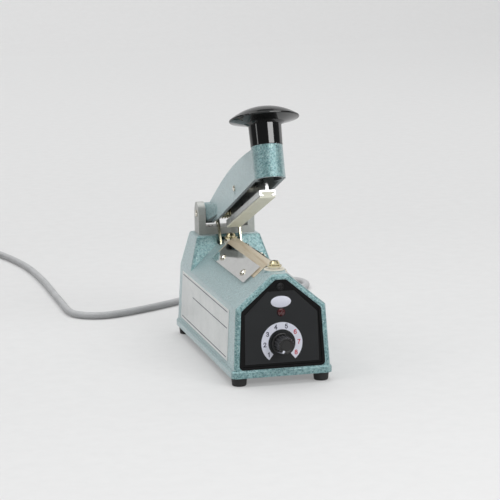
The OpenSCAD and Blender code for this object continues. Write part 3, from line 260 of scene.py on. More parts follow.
@dataclass(frozen=True)
class HammerPaint(Finish):
    """Hammer-effect enamel on a casting: small pooled cells, strewn with bright flakes whose pale colour is a
    painted glint.

    The cells give the eye a mottled sparkle, deep teal in the middle of a cell and pale along its rim.
    The flakes lie flat, so the paint turns pale where it is seen at a glancing angle.

    Attributes:
        cell: Width of a pooled cell in millimetres.
        flake_and_glint: Spacing of the flakes and of the glints painted on them in millimetres, drawn coarser
            than the real ones so that they show.
        glint: Colour of the flakes, a painted glint.
        painted_shade: Colour of the painted shade in the arm's hollow and under it, if it shows.
        lean: Angle in degrees at which the casting stands, which tells its underside.
        drift: Width, in cells, of the drift that bends the cells.
        reach: How far the drift carries a cell, in cells.
        pool_span: Distances from a cell's middle between which the rim's colour comes in.
        glint_span: Levels of the flakes' noise between which their painted glint colour comes in.
        cell_height: Share of the cells in the relief, beside the flakes.
        inward_span: Facing times millimetres off the middle plane, from paint to the painted shade on faces
            that look in.
        under_span: How far a face looks down, from paint to the painted shade underneath.
    """

    bump: float = 0.7
    cell: float = 1.7
    flake_and_glint: float = 0.55
    glint: str = "#dbe6e6"
    painted_shade: str = ""
    lean: float = 0.0
    drift: float = 2.2
    reach: float = 1.6
    pool_span: tuple = (0.15, 0.75)
    glint_span: tuple = (0.6, 0.74)
    cell_height: float = 0.5
    inward_span: tuple = (-0.2, -1.5)
    under_span: tuple = (0.5, 0.7)

    def inside(self, tree: bpy.types.NodeTree, place: bpy.types.NodeSocket) -> bpy.types.NodeSocket:
        """Share of painted shade: whole where a face looks in to the middle plane or down under the casting.

        Args:
            tree: Material's node tree.
            place: Place on the object.

        Returns:
            Socket from 0 on the paint to 1 in the painted shade.
        """
        normal = add(tree, "TexCoord").outputs["Normal"]
        facing = add(tree, "SeparateXYZ", {0: normal}).outputs[0]
        side = add(tree, "SeparateXYZ", {0: place}).outputs[0]
        across = add(tree, "Math", {0: facing, 1: side}, operation="MULTIPLY").outputs[0]
        start, stop = (edge * MM for edge in self.inward_span)
        inwards = add(tree, "MapRange", {"Value": across, "From Min": start, "From Max": stop}).outputs[0]
        a = math.radians(self.lean)
        below = {0: normal, 1: (0.0, -math.sin(a), -math.cos(a))}
        low = add(tree, "VectorMath", below, operation="DOT_PRODUCT").outputs["Value"]
        start, stop = self.under_span
        under = add(tree, "MapRange", {"Value": low, "From Min": start, "From Max": stop}).outputs[0]
        return add(tree, "Math", {0: inwards, 1: under}, operation="MAXIMUM").outputs[0]

    def surface(self, tree: bpy.types.NodeTree, shader: bpy.types.Node) -> None:
        """Give the shader its cells, their colours and their relief.

        Args:
            tree: Material's node tree.
            shader: Its principled shader.
        """
        place = add(tree, "TexCoord").outputs["Object"]
        bend = {"Vector": place, "Scale": per_mm(self.drift * self.cell), "Detail": BROAD_DETAIL}
        drift = add(tree, "TexNoise", bend).outputs["Color"]
        centred = add(tree, "VectorMath", {0: drift, 1: (0.5, 0.5, 0.5)}, operation="SUBTRACT").outputs[0]
        carried = {0: centred, 1: (self.reach * self.cell * MM,) * 3, 2: place}
        warped = add(tree, "VectorMath", carried, operation="MULTIPLY_ADD").outputs[0]
        rim = add(tree, "TexVoronoi", {"Vector": warped, "Scale": per_mm(self.cell)}).outputs["Distance"]
        flakes = {"Vector": place, "Scale": per_mm(self.flake_and_glint), "Detail": BROAD_DETAIL}
        flake_and_glint_noise = add(tree, "TexNoise", flakes).outputs["Fac"]
        low, high = self.pool_span
        pooled = add(tree, "MapRange", {"Value": rim, "From Min": low, "From Max": high}).outputs[0]
        shades = {0: pooled, 6: linear(self.colour), 7: linear(self.shade)}
        colour = add(tree, "Mix", shades, data_type="RGBA").outputs[2]
        low, high = self.glint_span
        # Painted glint: pale specks mixed into the base colour stand for the lamps glinting on the flakes
        spark = add(tree, "MapRange", {"Value": flake_and_glint_noise, "From Min": low, "From Max": high}).outputs[0]
        sparkle = {0: spark, 6: colour, 7: linear(self.glint)}
        colour = add(tree, "Mix", sparkle, data_type="RGBA").outputs[2]
        hills = {0: rim, 1: self.cell_height, 2: flake_and_glint_noise}
        height = add(tree, "Math", hills, operation="MULTIPLY_ADD").outputs[0]
        depth = {"Height": height, "Strength": self.bump, "Distance": self.relief * MM}
        relief = add(tree, "Bump", depth).outputs[0]
        gloss = add(tree, "MapRange", {"Value": pooled, **self.gloss_ends()}).outputs[0]
        if self.painted_shade:
            # Painted shade: faces in the arm's hollow and under it are painted dark, matt and without coat,
            # where shade falls
            inside = self.inside(tree, place)
            painted_shade_mix = {0: inside, 6: colour, 7: linear(self.painted_shade)}
            colour = add(tree, "Mix", painted_shade_mix, data_type="RGBA").outputs[2]
            for name, painted in (("Metallic", self.metallic), ("Coat Weight", self.coat)):
                level = add(tree, "MapRange", {"Value": inside, "To Min": painted, "To Max": 0.0})
                wire(tree, shader, {name: level.outputs[0]})
        wire(tree, shader, {"Base Color": colour, "Roughness": gloss})
        wire(tree, shader, {"Normal": relief, "Coat Normal": relief})


@dataclass(frozen=True)
class GlassCloth(Finish):
    """Woven glass coated with fluoropolymer: a tan sheet with a plain weave and brown heat stains.

    Attributes:
        thread: Spacing of the threads in millimetres, drawn coarser than the real weave so that it shows.
        scorch: Colour of the stains along the seam.
        stain: Width of a stain in millimetres.
        stain_run: Scale of the stains along the seam, where they are drawn out.
        stain_span: Levels of the stains' noise between which they come in.
        stain_most: Share of their colour in the deepest stains.
    """

    bump: float = 0.5
    thread: float = 0.9
    scorch: str = "#a68b69"
    stain: float = 2.4
    stain_run: float = 0.06
    stain_span: tuple = (0.45, 0.8)
    stain_most: float = 0.6

    def surface(self, tree: bpy.types.NodeTree, shader: bpy.types.Node) -> None:
        """Give the shader its weave and its stains, on the piece's own UV map in metres.

        Args:
            tree: Material's node tree.
            shader: Its principled shader.
        """
        flat = add(tree, "TexCoord").outputs["UV"]
        yarns = {"Vector": flat, "Scale": WAVE * per_mm(self.thread)}
        warp = add(tree, "TexWave", yarns, bands_direction="X").outputs["Fac"]
        weft = add(tree, "TexWave", yarns, bands_direction="Y").outputs["Fac"]
        weave = add(tree, "Math", {0: warp, 1: weft}, operation="MULTIPLY").outputs[0]
        long = add(tree, "Mapping", {"Vector": flat, "Scale": (1.0, self.stain_run, 1.0)}).outputs[0]
        streaks = {"Vector": long, "Scale": per_mm(self.stain), "Detail": FINE_DETAIL}
        stain = add(tree, "TexNoise", streaks).outputs["Fac"]
        low, high = self.stain_span
        burn = {"Value": stain, "From Min": low, "From Max": high, "To Max": self.stain_most}
        share = add(tree, "MapRange", burn).outputs[0]
        shades = {0: weave, 6: linear(self.shade), 7: linear(self.colour)}
        colour = add(tree, "Mix", shades, data_type="RGBA").outputs[2]
        scorched = {0: share, 6: colour, 7: linear(self.scorch)}
        colour = add(tree, "Mix", scorched, data_type="RGBA").outputs[2]
        depth = {"Height": weave, "Strength": self.bump, "Distance": self.relief * MM}
        relief = add(tree, "Bump", depth).outputs[0]
        wire(tree, shader, {"Base Color": colour, "Normal": relief})


@dataclass(frozen=True)
class Paper(Finish):
    """Seamless studio paper, lit a little through itself, so that shadows on it stay soft and pale.

    Attributes:
        glow: Level that the picture and the reflections see beside the lamps' light.
        far_glow: Level at the back, where the lamps' light falls off.
        near: Place in millimetres behind the part from which the glow grows.
        far: Place where it is at its full level.
    """

    glow: float = 0.22
    far_glow: float = 0.36
    near: float = 600.0
    far: float = 3000.0

    def surface(self, tree: bpy.types.NodeTree, shader: bpy.types.Node) -> None:
        """Give the shader its glow, which lights nothing else in the scene.

        Args:
            tree: Material's node tree.
            shader: Its principled shader.
        """
        super().surface(tree, shader)
        ray = add(tree, "LightPath").outputs
        seen = ray["Is Camera Ray"]
        for name in ("Is Glossy Ray", "Is Transmission Ray"):
            seen = add(tree, "Math", {0: seen, 1: ray[name]}, operation="MAXIMUM").outputs[0]
        place = add(tree, "TexCoord").outputs["Object"]
        behind = add(tree, "SeparateXYZ", {0: place}).outputs[1]
        span = {"From Min": self.near * MM, "From Max": self.far * MM}
        levels = {"To Min": self.glow, "To Max": self.far_glow}
        level = add(tree, "MapRange", {"Value": behind, **span, **levels}).outputs[0]
        glow = add(tree, "Math", {0: seen, 1: level}, operation="MULTIPLY").outputs[0]
        wire(tree, shader, {"Emission Strength": glow})


# Hammer enamel on a casting: mottled teal with pale flakes painted as glints, and a pale bloom at a glancing
# view
HAMMER = HammerPaint(
    "hammer_enamel_teal", "#3f6d71", "#84a9ab", 0.4, 0.6, 1.0, 0.1, relief=0.34, sheen=1.0
)
# The same enamel on the arm, with painted shade, dark and matt, in its hollow and under it
ARM_HAMMER = replace(HAMMER, name="hammer_enamel_arm", painted_shade="#1d2325", lean=21.3)
# Cast zinc alloy: pale grey with a dull metal light and a slight orange peel
GREY_CAST = Finish("zinc_alloy_casting", "#b9bbb7", "#a9aba7", 0.4, 0.3, grain=0.9, relief=0.04)
# Moulded ABS: deep black with small, faint highlights
PANEL = Finish("moulded_abs_black", "#050506", "#0a0a0b", 0.16, grain=0.5, relief=0.02, gleam=0.15)
# Printed film: dull black, a little paler than the panel round it
LABEL = Finish("printed_film_black", "#1a1c1e", "#1e2022", 0.4, grain=0.4, relief=0.008, gleam=0.3)
# White film: flat, with a cool tint
PRINT_WHITE = Finish("printed_film_white", "#d9dbe6", "#cfd1de", 0.5, grain=0.5, relief=0.004)
# Navy ink: flat and nearly black
PRINT_NAVY = Finish("printing_ink_navy", "#23263a", "#2c3046", 0.5, grain=0.5, relief=0.004)
# Red ink: flat and clear
PRINT_RED = Finish("printing_ink_red", "#c03a48", "#b23240", 0.5, grain=0.5, relief=0.004)
# Lacquered aluminium plate: an even satin white
PLATE_WHITE = Finish("printed_aluminium_plate", "#e8eae9", "#dcdfde", 0.42, grain=1.2, relief=0.006)
# Moulded rubber: dull black that turns grey where it takes the light
RUBBER = Finish("moulded_rubber_black", "#1b1b1b", "#262626", 0.62, grain=0.7, relief=0.03)
# Polished phenolic: black as glass, with sharp images of the lamps
PHENOLIC = Finish("polished_phenolic_black", "#050506", "#080809", 0.07, relief=0.001, spread=0.02)
# Satin ABS: black with soft, broad highlights
TIMER = Finish("moulded_abs_satin", "#151515", "#1d1d1d", 0.3, grain=0.6, relief=0.02)
# Black oxide on steel: dark, with light along its edges
BLACK_STEEL = Finish("black_oxide_steel", "#1a1a1b", "#2a2a2a", 0.35, 0.6, grain=0.5, relief=0.01)
# Acrylic: deep red under a hard clear gloss
LENS = Finish("clear_red_acrylic", "#4a0a11", "#38080d", 0.08, coat=0.5, coat_roughness=0.03, relief=0.003)
# Zinc plate on sheet: grey metal with a faint rolled grain
ZINC = Finish(
    "zinc_plated_sheet", "#b4b7b8", "#9da2a5", 0.36, 1.0, pattern=Pattern.ROLLED, grain=0.6, relief=0.006
)
# Nickel plate: bright metal with a warm tint
NICKEL = Finish(
    "nickel_plated_steel", "#d6d2c6", "#c2bdae", 0.13, 1.0, pattern=Pattern.PLATED, relief=0.006
)
# Yellow passivated zinc: bright metal with a straw tint
PASSIVATED = Finish(
    "yellow_passivated_zinc", "#d6cdae", "#c0b48c", 0.16, 1.0, pattern=Pattern.PLATED, relief=0.006
)
# Polished stainless sheet: mirrors the room with hardly any blur
MIRROR = Finish(
    "polished_stainless_sheet",
    "#d4d4d2",
    "#cbcbc9",
    0.05,
    1.0,
    pattern=Pattern.ROLLED,
    relief=0.001,
    spread=0.015,
)
# Spring steel strip: straw-coloured metal with blurred reflections
SPRING = Finish(
    "spring_steel_strip", "#d8d3ba", "#c2bc9f", 0.22, 1.0, pattern=Pattern.ROLLED, grain=0.5, relief=0.006
)
# Extruded aluminium: pale metal with fine lines along its length
ALUMINIUM = Finish(
    "extruded_aluminium", "#d3d4d3", "#bdbfbf", 0.33, 1.0, pattern=Pattern.DRAWN, grain=0.35, relief=0.012
)
# Silicone rubber: matt cream
SILICONE = Finish("silicone_rubber_cream", "#f1f0de", "#e6e4d1", 0.5, grain=0.9, relief=0.02)
# Coated glass cloth: tan and satin, with its weave and its stains
CLOTH = GlassCloth("coated_glass_cloth", "#d9cfbc", "#c2b59c", 0.38, relief=0.03)
# Pressed insulator: matt off-white
CERAMIC = Finish("pressed_insulator_white", "#e6e2d6", "#d9d4c6", 0.5, grain=0.7, relief=0.015)
# Turned brass: yellow metal with soft reflections
BRASS = Finish("turned_brass", "#c9a558", "#b08c42", 0.28, 1.0, grain=0.4, relief=0.008)
# Nichrome strip: grey metal, browned by heat
ALLOY = Finish(
    "nichrome_strip", "#8c8f93", "#77706a", 0.35, 1.0, pattern=Pattern.ROLLED, grain=0.4, relief=0.004
)
# Fibre board: satin green lacquer
BOARD = Finish("fibre_board_green", "#2f6b3f", "#275c36", 0.4, grain=0.6, relief=0.01)
# Moulded relay case: satin blue
RELAY = Finish("moulded_relay_blue", "#2b4f9e", "#26468c", 0.4)
# Shrunk sleeve: dark violet with a soft gloss
SLEEVE = Finish("shrunk_sleeve_violet", "#3a3350", "#322c46", 0.3)
# Laminated core: dull grey steel with the lines of its sheets
CORE = Finish(
    "laminated_core_steel", "#6d7075", "#5a5d61", 0.5, 0.8, pattern=Pattern.ROLLED, grain=0.5, relief=0.05
)
# Enamelled copper wire: amber, with the ridges of its windings
COPPER = Finish(
    "enamelled_copper_wire", "#b5763a", "#95592a", 0.3, 0.8, pattern=Pattern.DRAWN, grain=0.6, relief=0.1
)
# Moulded switch case: matt black
SWITCH = Finish("moulded_switch_black", "#1d1d1f", "#28282a", 0.5)
# Moulded plunger: satin red
PLUNGER = Finish("moulded_plunger_red", "#b3262a", "#9c2024", 0.4)
# Moulded lamp holder: satin ivory
HOLDER = Finish("moulded_holder_ivory", "#d9d4c6", "#cbc5b5", 0.45)
# Extruded PVC: grey with a soft light along its length
PVC = Finish("extruded_pvc_grey", "#b2b3b4", "#a6a7a8", 0.42, grain=1.6, relief=0.03)
# Studio paper: matt and even, pale up to the horizon
PAPER = Paper("seamless_paper_white", "#b6b6b6", "#b4b4b4", 0.85, grain=6.0, relief=0.0)

NODE_FINISH = {
    HAMMER: ("housing",),
    ARM_HAMMER: ("arm_casting",),
    GREY_CAST: ("hinge_bracket",),
    PANEL: ("front_panel",),
    LABEL: ("panel_label",),
    RUBBER: ("rubber_feet", "coil_tie"),
    PHENOLIC: ("handle_knob",),
    TIMER: ("timer_knob",),
    BLACK_STEEL: ("panel_screw",),
    LENS: ("indicator_lens",),
    ZINC: ("base_plate", "timer_pot", "transformer_strap", "switch_bracket"),
    NICKEL: (
        "foot_screws", "transformer_screws", "switch_screws", "heater_screws", "clamp_screws",
        "bracket_screws", "fork_screws", "pot_shaft", "pot_nut", "hinge_pin", "knob_stud",
        "bar_pin", "bar_spacers", "terminal_posts",
    ),
    PASSIVATED: ("terminal_screws",),
    MIRROR: ("clamp_plate_left", "clamp_plate_right"),
    SPRING: ("return_spring", "switch_fork"),
    ALUMINIUM: ("heater_bar", "pressure_bar"),
    SILICONE: ("silicone_pad",),
    CLOTH: ("ptfe_cloth",),
    CERAMIC: ("terminal_insulators",),
    BRASS: ("plug_blades",),
    ALLOY: ("heating_element",),
    BOARD: ("timer_board",),
    RELAY: ("relay",),
    SLEEVE: ("capacitors",),
    CORE: ("transformer_core",),
    COPPER: ("transformer_winding",),
    SWITCH: ("microswitch_body",),
    PLUNGER: ("switch_button",),
    HOLDER: ("lamp_body",),
    PVC: ("strain_relief", "cord_lead", "cord_coil", "plug_body"),
}


def dress_nodes() -> None:
    """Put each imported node's finish into its object's material slot."""
    for finish, nodes in NODE_FINISH.items():
        for name in nodes:
            slots = frame["nodes"][name].data.materials
            slots.clear()
            slots.append(finish.material())
        LOG.info("%s on %s", finish.name, ", ".join(nodes))


# Surfaces


def in_scene(name: str, data: bpy.types.ID) -> bpy.types.Object:
    """Make an object of its data and link it into the scene.

    Args:
        name: Object's name.
        data: Its mesh, curve, lamp or camera.

    Returns:
        The new object.
    """
    made = bpy.data.objects.new(name, data)
    bpy.context.scene.collection.objects.link(made)
    return made


def unit(vectors: np.ndarray) -> np.ndarray:
    """Vectors along the last axis, each divided by its length."""
    return vectors / np.linalg.norm(vectors, axis=-1, keepdims=True)


@dataclass(frozen=True)
class Plane:
    """A face that flat pieces lie on: its origin and its directions across, up and outwards."""

    origin: np.ndarray
    across: np.ndarray
    up: np.ndarray
    out: np.ndarray

    def at(self, local: np.ndarray) -> np.ndarray:
        """Places of points given as across, up and out."""
        return self.origin + local @ np.stack([self.across, self.up, self.out])


def grid_faces(rows: int, columns: int, wrap: bool) -> np.ndarray:
    """Quads over a grid of points, each joining a point to its neighbours in the next row and column.

    Args:
        rows: Number of rows.
        columns: Number of points in a row.
        wrap: Whether the last point of a row joins its first.

    Returns:
        Four point numbers for each quad.
    """
    i, j = np.meshgrid(np.arange(rows - 1), np.arange(columns if wrap else columns - 1), indexing="ij")
    k = (j + 1) % columns
    quads = [i * columns + j, i * columns + k, (i + 1) * columns + k, (i + 1) * columns + j]
    return np.stack(quads, -1).reshape(-1, 4)


def piece(
    name: str,
    grids: list[np.ndarray],
    body: Body,
    finish: Finish,
    wrap: bool = True,
    caps: bool = False,
    uv: np.ndarray | None = None,
    crease: float = 40.0,
) -> bpy.types.Object:
    """Make a mesh piece from grids of points, join its seams and poles, and put it on a body.

    Args:
        name: Piece's name.
        grids: Surfaces as arrays of rows, columns and x, y, z in millimetres.
        body: Body that it rides on.
        finish: Its finish.
        wrap: Whether rows close on themselves.
        caps: Whether the first and last rows are closed by a face.
        uv: Flat place in metres of each point of the first grid.
        crease: Angle in degrees above which an edge stays sharp.

    Returns:
        The piece's object.
    """
    faces: list[list[int]] = []
    base = 0
    for grid in grids:
        rows, columns = grid.shape[:2]
        faces += (grid_faces(rows, columns, wrap) + base).tolist()
        if caps:
            faces.append(list(range(base + columns - 1, base - 1, -1)))
            faces.append(list(range(base + (rows - 1) * columns, base + rows * columns)))
        base += rows * columns
    points = np.concatenate([grid.reshape(-1, 3) for grid in grids]) * MM
    mesh = bpy.data.meshes.new(name)
    mesh.from_pydata(points.tolist(), [], faces)
    if uv is not None:
        corners = np.empty(len(mesh.loops), np.int32)
        mesh.loops.foreach_get("vertex_index", corners)
        mesh.uv_layers.new(name="UVMap").data.foreach_set("uv", uv.reshape(-1, 2)[corners].ravel())
    shell = bmesh.new()
    shell.from_mesh(mesh)
    bmesh.ops.remove_doubles(shell, verts=shell.verts, dist=SEAM)
    bmesh.ops.recalc_face_normals(shell, faces=shell.faces)
    shell.to_mesh(mesh)
    shell.free()
    mesh.shade_smooth()
    mesh.set_sharp_from_angle(angle=math.radians(crease))
    mesh.materials.append(finish.material())
    made = in_scene(name, mesh)
    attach(made, body.value)
    LOG.info("%s: %d faces on %s", name, len(mesh.polygons), body.value)
    return made


def film(outline: np.ndarray, thickness: float, bevel: float) -> np.ndarray:
    """Thin closed plate over a flat outline.

    Its rows run from the middle of the back, out round the rim with a small bevel, to the middle of the face.

    Args:
        outline: Points across and up, round the plate.
        thickness: Height of the face above the back.
        bevel: Width of the rim's bevel.

    Returns:
        Grid of points across, up and out.
    """
    middle = outline.mean(0)
    reach = np.linalg.norm(outline - middle, axis=1, keepdims=True)
    inner = outline - (outline - middle) * bevel / reach
    flat = [middle + 0.0 * outline, outline, outline, inner, middle + 0.0 * outline]
    heights = [0.0, 0.0, thickness - BEVEL_RISE * bevel, thickness, thickness]
    return np.stack([np.c_[row, np.full(len(row), h)] for row, h in zip(flat, heights)])


def rounded_box(width: float, height: float, radius: float, steps: int = 8) -> np.ndarray:
    """Outline of a rectangle with round corners: a quarter circle, turned on to each corner in order.

    Args:
        width: Size across.
        height: Size up.
        radius: Radius of the corners.
        steps: Points on each corner.

    Returns:
        Points across and up, counter-clockwise about the middle.
    """
    turn = np.linspace(0.0, math.pi / 2, steps)
    corner = np.stack([np.cos(turn), np.sin(turn)], -1) * radius
    angles = np.arange(4) * math.pi / 2
    quarters = [np.array([[math.cos(a), -math.sin(a)], [math.sin(a), math.cos(a)]]) for a in angles]
    centres = np.array([[1, 1], [-1, 1], [-1, -1], [1, -1]]) * [width / 2 - radius, height / 2 - radius]
    return np.concatenate([corner @ q.T + c for q, c in zip(quarters, centres)])


def smooth_path(points: np.ndarray, steps: int) -> np.ndarray:
    """Catmull-Rom curve through points: each span is the cubic set by its two ends and their neighbours.

    Args:
        points: Points to pass through.
        steps: Parts of each span.

    Returns:
        Points along the curve.
    """
    ends = np.concatenate([[2 * points[0] - points[1]], points, [2 * points[-1] - points[-2]]])
    a, b, c, d = ends[:-3, None], ends[1:-2, None], ends[2:-1, None], ends[3:, None]
    t = np.linspace(0.0, 1.0, steps, endpoint=False)[None, :, None]
    curve = 0.5 * (2 * b + (c - a) * t + (2 * a - 5 * b + 4 * c - d) * t**2 + (3 * b - a - 3 * c + d) * t**3)
    return np.concatenate([curve.reshape(-1, points.shape[1]), points[-1:]])


def tube(path: np.ndarray, radius: float, side: np.ndarray, sides: int = 14) -> np.ndarray:
    """Round tube along a path, its ends closed to a point in their middle.

    A ring at each point lies square to the path, turned so that it starts towards side.

    Args:
        path: Points along the middle.
        radius: Tube's radius.
        side: Direction that is never along the path.
        sides: Points in a ring.

    Returns:
        Grid of points, a row for each ring.
    """
    way = unit(np.gradient(path, axis=0))
    first = unit(np.cross(way, side))
    second = np.cross(way, first)
    turn = np.linspace(0.0, math.tau, sides, endpoint=False)
    ring = np.cos(turn)[None, :, None] * first[:, None] + np.sin(turn)[None, :, None] * second[:, None]
    skin = path[:, None] + radius * ring
    start = np.repeat(path[:1, None], sides, 1)
    stop = np.repeat(path[-1:, None], sides, 1)
    return np.concatenate([start, skin, stop])


def joint(name: str) -> tuple[np.ndarray, np.ndarray]:
    """Place in millimetres and axis of one of the frame's joints."""
    found = next(j for j in frame["joints"] if j["name"] == name)
    return np.array(found["pos_m"]) / MM, np.array(found["axis"], float)


# The studio


@dataclass(frozen=True)
class SoftBox:
    """A soft lamp of the studio.

    Attributes:
        name: Lamp's name.
        spot: Its place in millimetres.
        aim: Place that it faces.
        size: Width and height in millimetres.
        watts: Its power.
        roll: Degrees that it is turned about the line to its aim.
    """

    name: str
    spot: tuple
    aim: tuple
    size: tuple
    watts: float
    roll: float = 0.0

    def hang(self) -> None:
        """Make the lamp at its place and turn it to its aim."""
        data = bpy.data.lights.new(self.name, "AREA")
        data.shape = "RECTANGLE"
        data.size = self.size[0] * MM
        data.size_y = self.size[1] * MM
        data.energy = self.watts
        made = in_scene(self.name, data)
        made.location = Vector(self.spot) * MM
        facing = (Vector(self.spot) - Vector(self.aim)).to_track_quat("Z", "Y")
        made.rotation_euler = (facing @ Quaternion((0, 0, 1), math.radians(self.roll))).to_euler()


@dataclass
class Studio:
    """Camera at the photograph's view, a pale floor that sweeps up behind, and soft lamps.

    Attributes:
        target: Place that the camera looks at.
        azimuth: Camera's angle round the part from the front, in degrees.
        elevation: Its angle above the floor.
        roll: Its turn about its own line of sight.
        distance: From the target to the camera.
        lens: Focal length.
        sensor: Width of the camera's sensor.
        sight: Farthest distance that the camera sees.
        floor_half: Half of the floor's width.
        floor_front: Floor's front edge along y.
        floor_back: Place where it begins to sweep up.
        sweep: Radius of the sweep.
        sweep_steps: Points on the sweep.
        wall: Height of the backdrop.
        room_colour: Colour of the light that fills the room.
        room_light: Its strength.
        lamps: The soft lamps.
    """

    target: tuple = (0.103, 1.58, 87.566)
    azimuth: float = -13.786
    elevation: float = 10.31
    roll: float = -0.972
    distance: float = 1616.46
    lens: float = 144.675
    sensor: float = 36.0
    sight: float = 20000.0
    floor_half: float = 4400.0
    floor_front: float = -2600.0
    floor_back: float = 3000.0
    sweep: float = 900.0
    sweep_steps: int = 24
    wall: float = 3200.0
    room_colour: str = "#f2f4f5"
    room_light: float = 0.24
    lamps: tuple = (
        SoftBox("ceiling_box", (-500, 500, 3200), (-500, 500, 0), (5000, 5000), 138.0),
        SoftBox("left_strip", (-1380, -290, 1150), (0, -50, 1150), (170, 2300), 5.0),
        SoftBox("right_strip", (604, -1289, 756), (0, -50, 165), (1000, 340), 11.0, -8.0),
        SoftBox("right_rear_box", (2100, 900, 700), (0, -50, 165), (1200, 1200), 5.4),
    )

    def camera(self) -> None:
        """Aim the camera from its angles and distance round the target."""
        a, e, r = (math.radians(x) for x in (self.azimuth, self.elevation, self.roll))
        back = Vector((math.sin(a) * math.cos(e), -math.cos(a) * math.cos(e), math.sin(e)))
        right = (-back).cross(Vector((0, 0, 1))).normalized()
        up = right.cross(-back)
        across = right * math.cos(r) + up * math.sin(r)
        upright = up * math.cos(r) - right * math.sin(r)
        data = bpy.data.cameras.new("photo_camera")
        data.lens = self.lens
        data.sensor_width = self.sensor
        data.clip_end = self.sight * MM
        made = in_scene("photo_camera", data)
        spot = (Vector(self.target) + back * self.distance) * MM
        turn = Matrix((across, upright, back)).transposed().to_4x4()
        made.matrix_world = Matrix.Translation(spot) @ turn
        bpy.context.scene.camera = made

    def floor(self) -> None:
        """Sweep the floor's profile across: flat, then a quarter round, then upright."""
        turn = np.linspace(0.0, math.pi / 2, self.sweep_steps)
        back = self.floor_back + self.sweep
        bend = np.stack([self.floor_back + self.sweep * np.sin(turn), self.sweep * (1 - np.cos(turn))], -1)
        profile = np.concatenate([[[self.floor_front, 0.0]], bend, [[back, self.wall]]])
        x = np.array([-self.floor_half, self.floor_half])
        rows = np.stack([np.c_[np.full(len(profile), v), profile] for v in x])
        faces = grid_faces(*rows.shape[:2], False)
        mesh = bpy.data.meshes.new("floor")
        mesh.from_pydata((rows.reshape(-1, 3) * MM).tolist(), [], faces.tolist())
        mesh.shade_smooth()
        mesh.materials.append(PAPER.material())
        made = in_scene("floor", mesh)

    def world(self) -> None:
        """Fill the room with an even pale light."""
        world = bpy.data.worlds.new("pale_room")
        world.use_nodes = True
        tree = world.node_tree
        tree.nodes.clear()
        sky = add(tree, "Background", {"Color": linear(self.room_colour), "Strength": self.room_light})
        add(tree, "OutputWorld", {"Surface": sky.outputs[0]})
        bpy.context.scene.world = world

    def build(self) -> None:
        """Set up the camera, the floor, the lamps and the plain view."""
        bpy.context.scene.view_settings.view_transform = "Standard"
        self.camera()
        self.floor()
        for lamp in self.lamps:
            lamp.hang()
        self.world()


# The mains lead


